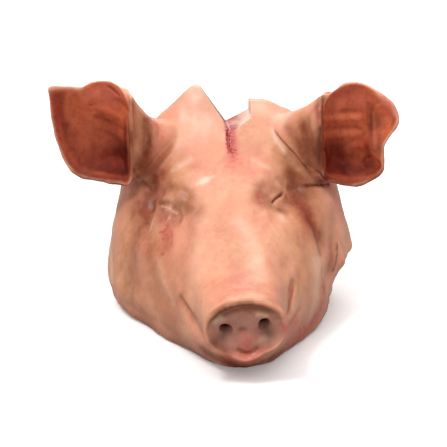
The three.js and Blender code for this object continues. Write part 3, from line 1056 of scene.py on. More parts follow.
@dataclass
class NeckCut:
    """The face of the cut behind the ears: rind, fat, bundles of muscle, bone and windpipe."""

    form: HeadForm
    lobes: tuple[Lobe, ...] = (
        Lobe((28, 169), (26, 20), -22),
        Lobe((36, 128), (16, 25), 8),
        Lobe((74, 127), (21, 37), 14),
        Lobe((17, 87), (17, 11), 10),
        Lobe((52, 82), (22, 15), -24),
        Lobe((30, 57), (9, 15), 6),
        Lobe((17, 35), (20, 8), 0),
        Lobe((88, 58), (21, 7), -40),
        Lobe((64, 33), (25, 6), -12),
        Lobe((60, 187), (19, 6), -34),
    )
    knob: tuple[Point, Point] = ((17, 105, 116), (12, 11, 16))
    cord_hole: tuple[Point, Point] = ((0, 112, 120), (10, 26, 11))
    windpipe: tuple[Point, Point] = ((0, 106, 62), (21, 7, 17))
    windpipe_hole: tuple[Point, Point] = ((0, 112, 62), (12.5, 36, 9.5))
    face_gap: Range = (2.2, 1.2)
    rind_gap: Range = (4.6, 3.4)
    bone_gap: Range = (0.14, 0.06)
    hole_gap: Range = (0.2, 0.1)

    def mark(self, points: np.ndarray, normals: np.ndarray, masks: Masks) -> np.ndarray:
        """Marks the bone, and paints shade into the holes of the cut.

        Args:
            points: the head's points.
            normals: its directions outwards.
            masks: takes the marks.

        Returns:
            Where the cut is, with its bone and holes.
        """
        face = smooth(*self.face_gap, np.abs(self.plane(points))) * smooth(0.3, 0.65, normals[:, 1])
        raised, holes = self.on_raised(points), self.in_holes(points)
        masks.add(Mask.BONE, raised)
        # Painted shade inside the holes.
        masks.add(Mask.CAVITY_SHADE, holes)
        return np.max([face, raised, holes], axis=0)

    def raised(self) -> list[tuple[Point, Point]]:
        """The two knobs of bone and the windpipe's ring, as egg shapes."""
        (x, y, z), half = self.knob
        return [((x, y, z), half), ((-x, y, z), half), self.windpipe]

    @staticmethod
    def off_skin(points: np.ndarray, at: Point, half: Point) -> np.ndarray:
        """How far each point is from an egg shape's skin, as a share of the egg's size."""
        return np.abs(np.linalg.norm((points - np.array(at)) / np.array(half), axis=1) - 1)

    def on_raised(self, points: np.ndarray) -> np.ndarray:
        """A mask of the points that lie on bone or gristle."""
        off = np.min([self.off_skin(points, *egg) for egg in self.raised()], axis=0)
        return smooth(*self.bone_gap, off) * (points[:, 1] > 100)

    def in_holes(self, points: np.ndarray) -> np.ndarray:
        """A mask of the points inside the two holes."""
        off = np.min([self.off_skin(points, *egg) for egg in (self.cord_hole, self.windpipe_hole)], axis=0)
        return smooth(*self.hole_gap, off) * smooth(0, 4, self.plane(points))

    def plane(self, points: np.ndarray) -> np.ndarray:
        """How far in front of the cut each point lies."""
        return self.form.neck_cut + self.form.neck_slope * points[:, 2] - points[:, 1]

    def wobble(self, x: np.ndarray, z: np.ndarray, size: float) -> np.ndarray:
        """A slow, even wobble across the cut.

        Args:
            x: how far across.
            z: how high.
            size: the length of one wave.

        Returns:
            Values round 0, about -1 to 1.
        """
        k = 2 * np.pi / size
        one = np.sin(k * x + 1.3 + 1.7 * np.sin(0.61 * k * z))
        return 0.5 * (one + np.sin(k * 1.13 * z + 0.4 + 1.9 * np.sin(0.53 * k * x)))

    def meat(self, points: np.ndarray) -> np.ndarray:
        """How deep in a bundle of muscle each point is, below 0 in fat.

        Args:
            points: points of the cut.

        Returns:
            The share.
        """
        x = points[:, 0] - 2 + 2.2 * self.wobble(points[:, 0], points[:, 2], 31)
        z = points[:, 2] + 2.2 * self.wobble(points[:, 2], points[:, 0], 27)
        return np.max([lobe.depth(x, z) for lobe in self.lobes], axis=0)

    def relief(self, points: np.ndarray, rind: np.ndarray) -> np.ndarray:
        """How far the cut stands out at each point: rounded meat, sunk seams, soft fat, a firm rind.

        Args:
            points: points of the cut.
            rind: 1 in the edge of the skin.

        Returns:
            Millimetres.
        """
        deep = self.meat(points)
        meat = 2.2 * smooth(0.0, 0.22, deep) - 1.2 * np.exp(-((deep / 0.07) ** 2))
        x, z = points[:, 0], points[:, 2]
        fat = 0.6 * self.wobble(x, z, 17) + 0.3 * self.wobble(x, z, 7)
        return meat + (fat - 2.4) * (1 - rind) - 0.3

    @staticmethod
    def egg(at: Sequence[float], half: Sequence[float], steps: int = 48) -> Shell:
        """An egg shape.

        Args:
            at: its middle.
            half: its half-sizes.
            steps: points round it.

        Returns:
            The closed shape.
        """
        up = np.linspace(-np.pi / 2, np.pi / 2, steps // 2)[1:-1]
        turn = np.linspace(0, 2 * np.pi, steps, endpoint=False)
        ring = np.stack([np.cos(turn), 0 * turn, np.sin(turn)], axis=1)
        rings = np.stack([ring * math.cos(u) + [0, math.sin(u), 0] for u in up])
        middle, size = np.array(at, dtype=float), np.array(half, dtype=float)
        return Shell.from_rings(middle + rings * size, middle - [0, size[1], 0], middle + [0, size[1], 0])


class Mask(Enum):
    """The stains, changes of skin, painted shade and painted highlights that the finishes read, by their
    attribute's name.
    """

    EAR = "ear_inside"
    # Painted shade inside the ears, darkest towards the canal.
    CANAL_SHADE = "ear_canal_shade"
    RIM = "ear_rim"
    DISC = "snout_disc"
    # Painted shade inside the nostrils and the holes in the neck's cut.
    CAVITY_SHADE = "painted_cavity_shade"
    CUT = "cut"
    MEAT = "meat"
    BONE = "bone"
    RIND = "rind"
    BLOOD = "blood"
    # Brown skin and dark specks, and painted shade in creases, under the snout disc's top rim, along the
    # ears' lower rims and at the chin.
    BROWN = "brown"
    # Tan skin, and painted shade at the temples and in the band under the snout disc's top rim.
    TAN = "tan"
    # Painted shade, multiplied over the colour: round the eyes, at the temples, under and along the ears, in
    # the mouth's creases, at the jaw and chin.
    PAINTED_SHADE = "painted_shade"
    OLIVE = "olive"
    PINK = "pink"
    # Pale skin, and painted highlights: the wet glint on the forehead, the eyelids' lit edges, the nostrils'
    # lit rims and the head's lit edges.
    PALE_AND_HIGHLIGHT = "pale"
    # Painted shade in the bottoms of the lines' creases.
    CREASE = "crease"


class Fold(Enum):
    """How a line on the skin is shaped."""

    FURROW = "furrow"
    RIDGE = "ridge"
    STEP = "step"


@dataclass(frozen=True)
class Line:
    """A line on the skin, placed by the pixels that it is seen at.

    Attributes:
        fold: its shape.
        pixels: its corners.
        width: half-width on the skin.
        height: how deep or how high it is; a step is high on the left of its direction.
        shade: how dark its bottom is painted, as painted shade in the crease.
    """

    fold: Fold
    pixels: tuple[Pixel, ...]
    width: float
    height: float
    shade: float = 0.0


@dataclass(frozen=True)
class Bump:
    """A soft round bump, or with a height below 0 a hollow, placed by a pixel."""

    pixel: Pixel
    reach: float
    height: float


@dataclass(frozen=True)
class Stain:
    """A patch or streak of colour on the skin, placed by pixels; stains, painted shade and painted
    highlights alike.
    """

    mask: Mask
    pixels: tuple[Pixel, ...]
    width: float
    strength: float


def pixels_in(numbers: Sequence[float]) -> tuple[Pixel, ...]:
    """Numbers taken two by two as pixels."""
    return tuple(zip(numbers[::2], numbers[1::2]))


# The lines by their fold: half-width, height, painted shade, and then x and y of one pixel after another.
LINE_ROWS: dict[Fold, tuple[tuple[float, ...], ...]] = {
    Fold.FURROW: (
        # The left eye
        (2.4, 1.3, 0.25, 157, 203, 163, 202.5, 169, 203, 175, 206.5, 180, 211, 183, 217),
        (2.4, 0.4, 0.1, 182.5, 214.5, 182, 219, 179.5, 224), (3, 0.7, 0.05, 163, 226, 171, 228, 178, 226),
        (2.8, 0.6, 0.06, 159, 190, 164, 191.5, 165, 198),
        (4.2, 1.1, 0.1, 164, 191, 175, 188.5, 185, 192.5, 192, 201),
        (4.2, 0.8, 0.06, 178, 204.5, 186, 207.5, 194, 212),
        (4.6, 1.3, 0.1, 157, 175, 155, 187, 154, 198, 152.5, 207, 151, 215),
        (1.8, 0.35, 0.3, 152.5, 204, 153.5, 209, 153, 214),
        (3, 1, 0.15, 129, 189, 138, 183, 147, 184, 153, 190),
        # The right eye
        (1.35, 2, 0.8, 271, 204.5, 273, 201.3, 276.5, 198, 280.5, 195.7, 284.5, 191.5),
        (4, 0.7, 0.04, 265, 189, 270, 183.5, 277, 180.5, 284, 181.5, 288, 186),
        (5, 1.1, 0, 262, 206, 259, 198, 260.5, 189, 266, 181),
        (2.4, 0.35, 0.08, 270.5, 207, 273.5, 211, 279, 211.5, 285, 212.5),
        (2.6, 0.5, 0.05, 265, 208, 258, 213, 252, 211), (4.4, 1.3, 0.1, 286, 187.5, 292, 189, 301, 187),
        # The ears' roots and the forehead
        (2.4, 1.3, 0.25, 131, 166, 137, 174, 141, 180, 147, 186, 153, 192),
        (2.2, 1.4, 0.35, 143, 175.5, 136, 181, 128, 187),
        (1.4, 1.8, 0.6, 318, 170, 321, 175, 325, 178.5, 331, 180),
        (1.7, 1.1, 0.55, 298, 186.5, 307, 185.6, 316, 185, 324, 184.2, 331, 183),
        (1.4, 0.6, 0.12, 150, 119, 152, 131, 150, 143), (1.3, 0.5, 0.1, 156, 122, 159, 132, 157, 142),
        (1.6, 0.6, 0.12, 143, 118, 145, 133, 143, 149), (1.6, 0.6, 0.12, 298, 122, 302, 137, 309, 152),
        (1.8, 0.7, 0.12, 307, 113, 310, 130, 314, 147),
        (1.1, 2, 0.35, 229.5, 129, 228, 137, 228.5, 145, 231, 153),
        # The cheeks, the jowls and the snout
        (4.4, 1.2, 0.1, 309, 209, 313, 223, 317, 236, 320, 248, 323, 262),
        (2.6, 0.6, 0.08, 297, 229, 299, 238, 300, 249), (2.8, 0.8, 0.12, 322, 264, 324, 280, 325, 297),
        (3, 0.35, 0.05, 300, 268, 300, 285, 298, 300),
        (1.4, 0.5, 0.4, 294, 279, 293.5, 288, 291.5, 297, 289, 306, 286, 316),
        (2.8, 1.2, 0.25, 302, 304, 296.5, 314, 291.5, 322, 287.5, 330),
        (3.4, 0.5, 0.06, 183, 300, 187.5, 306, 192, 313, 197, 320, 201.5, 328),
        (4.4, 0.6, 0.04, 147, 236, 149, 258, 155, 282, 164, 304),
        (5, 0.6, 0, 134, 222, 133, 250, 137, 280), (3.8, 0.4, 0, 179, 268, 181, 282, 184, 294),
        (2.4, 0.3, 0.04, 212, 305, 224, 297, 240, 291.5, 256, 291.5, 270, 296, 279, 302),
        (2.2, 0.5, 0.06, 216, 292, 232, 287, 250, 286, 268, 290),
        # The ears' insides
        (3, 0.8, 0.14, 322, 115, 332, 113.5, 350, 112.5, 368, 114),
        (2.8, 1, 0.18, 322, 131, 336, 128.5, 352, 128.5, 370, 130.5),
        (3.6, 0.7, 0.15, 320, 149, 336, 148, 352, 149, 364, 151),
        (1.8, 1.2, 0.4, 375, 158, 380, 166, 372, 173, 360, 175),
        (1.5, 1, 0.35, 372, 156, 365, 159, 363, 165, 368, 169),
        (1.8, 0.9, 0.3, 335, 176, 345, 179, 356, 180),
        (2.8, 0.9, 0.12, 88, 116.5, 98, 118.5, 110, 123, 125, 131.5),
        (1.4, 0.7, 0.35, 89, 104.5, 93, 106.5), (3, 0.8, 0.12, 112, 98, 120, 103, 129, 112),
        (2.4, 1.2, 0.25, 67.5, 122, 68, 138, 71.5, 148, 78, 156, 83, 168),
        (1.5, 1.2, 0.5, 106.5, 85.5, 111, 88.5, 115.5, 92, 121, 97),
        (2, 1, 0.3, 86, 167, 98, 169.5, 112, 170.5), (1.5, 0.8, 0.3, 91, 174.5, 100, 175.5, 109, 175),
    ),
    Fold.RIDGE: (
        # The left eye
        (1, 0.45, 0, 161.5, 206.8, 166, 207.2, 170, 208.7, 174.5, 211, 178.5, 214),
        (0.8, 0.35, 0, 167, 209.5, 171, 211.3, 174.5, 214),
        (1.1, 0.4, 0, 172.5, 214, 170.5, 218, 168, 223),
        (0.7, 0.25, 0, 155, 216, 152.5, 222.5, 149.5, 231),
        # The right eye
        (2.4, 0.7, 0, 269.5, 202, 272, 197.5, 276, 194, 281, 190.5),
        (2.6, 0.6, 0, 274, 206, 278, 202, 282.5, 198.5, 287, 195.5),
        # The ears' roots and the forehead
        (3.6, 0.5, 0, 302, 190, 312, 190, 326, 189),
        # The cheeks, the jowls and the snout
        (3.6, 0.4, 0, 307, 268, 306, 288, 304, 308, 300, 322), (4, 0.7, 0, 160, 262, 165, 282, 174, 303),
        (2, 0.4, 0, 208, 300, 222, 293, 240, 288),
        # The ears' insides
        (3.4, 0.8, 0, 322, 121, 336, 119, 352, 118.5, 369, 120),
        (3.8, 0.8, 0, 322, 138, 336, 136, 352, 136, 368, 138),
        (3.4, 0.9, 0, 90, 108, 101, 109, 112, 113, 125, 121),
        (3.8, 0.8, 0, 90, 127, 103, 128, 115, 133, 126, 141),
        (2.8, 0.8, 0, 61, 118, 61.5, 138, 66, 152, 74, 165),
    ),
    Fold.STEP: (
        # The ears' roots and the forehead
        (1.6, -1.9, 0.5, 140, 178, 147, 169, 154, 160, 162, 150.5, 174, 139),
        (1.3, 1.8, 0.8, 273, 128, 278, 134, 284, 141.5, 290, 148.5, 297, 156.5, 303, 163.5, 309, 170),
        # The cheeks, the jowls and the snout
        (1.5, -3, 0.7, 337, 240, 336.6, 250, 335.4, 261, 333, 274),
        # The ears' insides
        (1.6, 3.4, 0.5, 380, 160, 375.5, 155, 372, 145, 371.5, 130, 371.5, 114, 370.5, 102),
    ),
}
LINES = tuple(
    Line(fold, pixels_in(row[3:]), *row[:3]) for fold, rows in LINE_ROWS.items() for row in rows
)

# The bumps: x and y of the pixel, reach and height.
BUMPS = tuple(
    Bump((x, y), reach, height)
    for x, y, reach, height in (
        (171, 214, 12, 2.6), (174, 197, 12, 1.2), (279, 200, 11, 2.4), (269, 184, 11, 1.4),
        (150, 200, 12, -0.8), (293, 186, 11, -1.8), (204, 181, 15, 1.3), (238, 192, 16, 0.8),
        (184, 258, 20, 1.6), (278, 242, 18, 1.4), (203, 300, 3.4, 0.8), (206.5, 306, 2.6, 0.6),
        (146.5, 228, 1.8, -0.6), (247, 241, 2.4, 0.5), (268, 244, 3, 0.5), (283, 217, 5, 0.7),
        (343, 240, 14, 0.6), (340, 258, 11, 2.6), (330, 276, 10, -5.6), (348, 243, 8, -2.9),
        (341.5, 262, 5, 1.5), (345, 183, 5, -1.2), (110, 181, 2.6, -1.8),
    )
)

# The stains, painted shade and painted highlights by their mask: half-width, strength, and then x and y of
# one pixel after another.
STAIN_ROWS: dict[Mask, tuple[tuple[float, ...], ...]] = {
    # Painted shade round the eyes, at the temples, under and along the ears, in the creases, at the jaw and
    # chin.
    Mask.PAINTED_SHADE: (
        (13, 0.95, 160, 174, 152, 190, 148, 206, 145, 222), (8, 0.5, 152, 186, 149, 204),
        (12, 0.45, 148, 232, 150, 246), (11, 0.5, 168, 188, 182, 198, 197, 212),
        (9, 0.3, 192, 224, 190, 252), (12, 0.95, 293, 176, 299, 196, 308, 213, 317, 232),
        (8, 0.5, 293, 180, 300, 200), (8, 0.3, 320, 238, 322, 252), (9, 0.55, 137, 190, 135, 212),
        (8, 0.6, 158, 216, 176, 221), (8, 0.4, 166, 232, 168, 246),
        (20, 0.28, 150, 262, 158, 290, 172, 322), (8, 1, 204, 352, 222, 360, 240, 368),
        (8, 0.65, 262, 188, 263, 203), (8, 0.65, 280, 208, 291, 203), (7, 0.6, 331, 240, 331, 264),
        (10, 0.22, 182, 153, 190, 166), (12, 0.2, 246, 130, 252, 150), (16, 0.15, 182, 116, 190, 130),
        (14, 0.35, 62, 100, 66, 130, 78, 150), (16, 0.3, 90, 110, 102, 142), (6, 0.7, 377, 118, 379, 147),
        (10, 0.3, 302, 236, 303, 246), (7, 0.6, 132, 100, 134, 120, 131, 145, 134, 165),
        (10, 0.8, 146, 120, 146, 136, 147, 154, 140, 168), (9, 0.85, 303, 126, 310, 144, 317, 162),
        (3.2, 0.6, 54, 100, 57, 125, 62, 145, 70, 163, 80, 174.5), (6, 1, 78, 173, 99, 180, 122, 183),
        (4, 0.7, 99, 180, 122, 182), (3.2, 0.5, 398, 125, 389, 137, 386, 147, 386, 160),
        (4.5, 0.85, 386, 162, 382, 173, 370, 181, 358, 187, 340, 183, 326, 181.5),
        (8, 0.6, 161, 199, 164, 212), (7, 0.6, 276, 190, 284, 196), (7, 0.6, 305, 180, 312, 190),
        (4, 0.9, 129.5, 126, 130, 150, 130, 174), (2.4, 0.6, 132.5, 100, 132.5, 130, 132.5, 172),
        (5, 0.9, 322, 96, 323, 130, 322, 166), (6, 0.8, 288, 126, 295, 141, 302, 155),
        (9, 0.45, 140, 205, 137, 240, 138, 282), (9, 0.6, 105, 124, 117, 134, 121, 150),
        (8, 0.55, 86, 167, 104, 168, 120, 172), (8, 0.45, 68, 127, 74, 142), (6, 0.5, 348, 109, 370, 107),
        (8, 0.6, 342, 168, 358, 170, 374, 166), (6, 0.45, 182, 297, 191, 312, 202, 329),
        (3, 0.4, 294, 280, 292, 296, 288, 310), (6, 0.5, 214, 312, 232, 303, 252, 302, 270, 309),
        (5, 0.6, 296, 181, 312, 181, 328, 180), (4, 0.8, 80, 173, 100, 177, 126, 179),
        (4, 0.8, 326, 177, 345, 182, 362, 182), (6, 0.9, 125, 128, 126, 150, 126, 172),
        (5, 0.9, 323, 110, 322, 140, 321, 166), (3, 0.7, 318, 106, 318, 130, 317, 164),
        (6, 0.6, 302, 144, 310, 160), (3.4, 0.5, 141, 176, 151, 163), (10, 0.4, 134, 244, 132, 282),
        (6, 0.55, 222, 315, 245, 311, 264, 313), (5, 0.6, 213, 342, 229, 354),
        (22, 0.22, 224, 232, 240, 262, 244, 282), (9, 0.5, 124, 308, 140, 324, 170, 342, 204, 358),
    ),
    Mask.BLOOD: (
        (4, 0.4, 55, 97, 57, 110, 60, 122), (1.9, 0.95, 226, 123, 227.5, 134, 228.5, 145, 231, 153),
        (3.4, 0.6, 229, 128, 230.5, 140, 233, 152), (2.6, 0.7, 227, 119.5, 233, 116.5, 239, 113.5),
        (3, 0.35, 231, 141, 234, 150), (1.4, 0.3, 241, 351.8, 247, 352.3, 253, 351.5),
    ),
    Mask.PINK: (
        (4, 0.7, 384, 97, 392, 106, 396, 116), (7.5, 0.5, 165, 222, 168, 235, 164, 248),
        (5, 0.4, 165, 229, 169, 236), (7, 0.3, 146, 240, 147, 256), (4.5, 0.55, 259, 193, 261, 203),
        (6, 0.5, 301, 207, 305, 217), (10, 0.3, 296, 202, 306, 226), (10, 0.5, 98, 93, 116, 98),
        (10, 0.5, 334, 98, 360, 98), (6, 0.8, 316, 318, 304, 334, 290, 346, 272, 358),
        (6, 0.55, 151, 117, 158, 128, 160, 140), (6, 0.35, 184, 97, 190, 104),
        (12, 0.25, 240, 163, 250, 173), (9, 0.2, 222, 168, 198, 169), (4, 0.7, 229, 119, 240, 114),
        (5.5, 0.95, 232, 134, 233, 148, 231, 158), (7, 0.35, 230, 170, 232, 160),
        (9, 0.6, 246, 340, 247, 350), (5, 0.5, 228, 354, 238, 358, 248, 358.5, 262, 352),
        (6, 0.35, 210, 306, 228, 296, 246, 291, 266, 295, 280, 304),
        (8, 0.3, 206, 284, 244, 281, 276, 290), (6, 0.6, 226, 362, 240, 367, 262, 362),
        (9, 0.7, 324, 288, 321, 306, 312, 322, 300, 333, 289, 339), (6, 0.6, 286, 330, 296, 322),
        (4, 0.4, 291, 288, 287, 306),
    ),
    # Painted shade in the ears' deep parts.
    Mask.CANAL_SHADE: (
        (2.6, 0.9, 320.5, 128, 319.5, 145, 319, 163), (3, 0.9, 128, 128, 127.5, 150, 128.5, 172),
        (12, 0.4, 70, 138, 78, 158, 92, 168), (10, 0.35, 88, 136, 92, 146),
        (9, 0.45, 364, 138, 372, 166, 352, 177), (3, 0.5, 368, 104, 370, 124, 371, 146),
        (6, 0.7, 58, 97, 60, 108, 63, 124),
    ),
    # Brown specks, and painted shade in creases, under the disc's rim, under the ears' rims and at the chin.
    Mask.BROWN: (
        (5, 0.8, 151, 191, 154, 184, 156, 177), (3, 0.65, 153, 202, 152.5, 211),
        (3.6, 0.3, 163, 195, 165, 191), (2.6, 0.55, 159, 203, 168, 204.5), (2.2, 0.5, 175, 208, 181, 214),
        (3.5, 0.35, 182, 217, 180, 223), (1.3, 0.6, 160, 232, 163, 232), (1.4, 0.6, 164, 239),
        (1.3, 0.35, 172, 232, 172, 243), (1.6, 0.6, 162, 253.5), (1.5, 0.45, 155, 263, 153, 268),
        (4.5, 0.35, 279, 178, 283, 184), (8, 0.3, 292, 168, 294, 182, 293, 194),
        (5, 0.4, 296, 190, 304, 189), (3, 0.3, 273, 184, 270, 190),
        (2.2, 0.8, 336.2, 245, 335.5, 258, 334.5, 270), (0.9, 0.5, 157, 250, 156.5, 251),
        (0.8, 0.5, 161, 246), (0.8, 0.4, 165, 246.5), (0.9, 0.5, 168, 240), (0.9, 0.4, 160, 226),
        (1.2, 0.4, 150, 274), (4, 0.4, 308, 336, 292, 349, 270, 361),
        (3, 0.3, 312, 222, 317, 238, 321, 254), (2.6, 0.7, 305, 165, 310, 171),
        (2.6, 0.6, 317, 170, 323, 177), (8, 0.6, 147, 120, 148, 134, 146, 150, 140, 166),
        (4, 0.4, 149, 142, 146, 156), (5, 0.4, 130, 182, 140, 178, 150, 188),
        (6, 0.5, 301, 140, 305, 152, 310, 164), (4, 0.25, 320, 99, 312, 112),
        (3, 0.8, 303, 186, 330, 184.5), (2.6, 0.7, 393.5, 119, 392, 124),
        (3, 0.65, 212, 320, 222, 310.5, 236, 304.5, 250, 303.5), (3, 0.5, 241, 329, 244.5, 329),
        (6, 0.5, 238, 368, 262, 363, 280, 352), (3, 0.3, 290, 348, 303, 340, 312, 333),
        (9, 0.25, 284, 155, 290, 170), (8, 0.2, 301, 208, 303, 220), (5, 0.5, 82, 172, 99, 180, 118, 184),
        (4, 0.5, 326, 181, 342, 183, 360, 184), (1.4, 0.2, 241, 351.5, 253, 351.5),
    ),
    # Tan skin, and painted shade at the temples and under the disc's top rim.
    Mask.TAN: (
        (8, 0.5, 166, 178, 170, 186), (7, 0.5, 189, 192, 194, 200), (7, 0.35, 184, 206, 200, 208),
        (9, 0.35, 180, 258, 185, 286, 178, 300), (6, 0.4, 147, 202, 144, 214),
        (5, 0.5, 254, 194, 252, 201), (9, 0.5, 306, 195, 318, 205, 322, 232),
        (6, 0.35, 285, 256, 283, 268), (16, 0.3, 150, 240, 152, 290),
        (13, 0.5, 128, 232, 127, 262, 130, 292), (8, 0.5, 135, 104, 139, 120, 136, 140),
        (12, 0.6, 298, 118, 304, 132, 311, 152), (8, 0.3, 168, 150, 174, 162),
        (5, 0.7, 210, 322, 220, 312, 236, 305.5, 252, 305, 268, 311), (13, 0.55, 171, 160, 178, 182),
        (13, 0.65, 283, 150, 292, 174), (13, 0.6, 299, 200, 303, 228),
        (17, 0.45, 158, 248, 164, 266, 172, 290), (20, 0.4, 118, 246, 124, 284, 146, 314),
        (18, 0.35, 160, 302, 178, 332), (12, 0.35, 128, 205, 134, 228),
        (14, 0.4, 298, 238, 304, 262, 304, 285),
    ),
    Mask.OLIVE: (
        (5, 0.5, 177, 203, 184, 207, 188, 212), (4, 0.45, 146, 222, 152, 218),
        (5, 0.4, 146, 195, 150, 203), (4, 0.45, 267, 196, 270, 205), (2.4, 0.5, 279, 210.5),
        (4.2, 0.5, 272, 208, 285, 213), (8, 0.35, 331, 212, 333, 236),
        (5, 0.35, 118, 202, 112, 240, 114, 284), (5, 0.5, 131, 132, 130, 158),
        (6, 0.5, 307, 120, 314, 134, 315, 152),
    ),
    # Pale skin, and painted highlights on the eyelids, the forehead, the nostrils' rims, the head's left
    # edge and the lower right cheek.
    Mask.PALE_AND_HIGHLIGHT: (
        (0.9, 0.5, 162, 206.6, 170, 208.2, 178.5, 213.5), (0.8, 0.3, 167, 209.5, 171, 211.3, 174.5, 214),
        (1.1, 0.2, 171.5, 216, 168.5, 222), (0.8, 0.5, 155, 217, 150, 230),
        (12, 0.16, 203, 222, 200, 250, 196, 272), (3.5, 0.5, 116, 214, 111.5, 245, 112.5, 282),
        (6, 0.4, 317, 260, 317, 290, 310, 318), (3.6, 0.95, 203, 182, 206, 180.5),
        (2.2, 0.5, 197, 184.5, 213, 177), (4, 0.2, 160, 262, 166, 284, 174, 303),
        (4.5, 0.3, 281, 217, 284, 220), (9, 0.35, 240, 222, 250, 236, 256, 258, 258, 276),
        (4, 0.6, 272, 132, 279, 141, 284, 150), (4, 0.4, 174, 170, 183, 164, 190, 160),
        (3, 0.4, 254, 160, 268, 168), (17, 0.5, 194, 96, 190, 112, 200, 122),
        (11, 0.6, 258, 106, 272, 112, 284, 118), (3, 0.5, 215, 322, 221, 318),
        (2.8, 0.45, 258, 315, 266, 316), (3.5, 0.35, 260, 340, 266, 337),
    ),
    Mask.RIM: (
        (2.6, 1, 50, 88.5, 60, 87, 70, 87.3, 80, 88), (4, 0.9, 379, 92, 387, 99, 393, 106, 397, 114),
        (5, 0.3, 376, 120, 377, 135, 379, 148),
    ),
    # Painted shade in the nostrils.
    Mask.CAVITY_SHADE: (
        (5.5, 0.6, 225, 331, 222, 338), (5.5, 0.65, 264, 326, 268, 334),
    ),
}
STAINS = tuple(
    Stain(mask, pixels_in(row[2:]), *row[:2]) for mask, rows in STAIN_ROWS.items() for row in rows
)


@dataclass
class Masks:
    """The values that the finishes read at each point of the head's mesh."""

    count: int
    values: dict[Mask, np.ndarray] = field(default_factory=dict)

    def __post_init__(self) -> None:
        """Starts every mask at 0."""
        self.values = {mask: np.zeros(self.count) for mask in Mask}

    def add(self, mask: Mask, value: np.ndarray) -> None:
        """Lays a value over what a mask holds, up to 1."""
        self.values[mask] = 1 - (1 - self.values[mask]) * (1 - np.clip(value, 0, 1))

    def write(self, mesh: bpy.types.Mesh, rows: np.ndarray) -> None:
        """Stores every mask as an attribute of a mesh's points.

        Args:
            mesh: the mesh.
            rows: which value each of its points takes.
        """
        for mask, value in self.values.items():
            attribute = mesh.attributes.new(mask.value, "FLOAT", "POINT")
            attribute.data.foreach_set("value", value[rows].astype(np.float32))


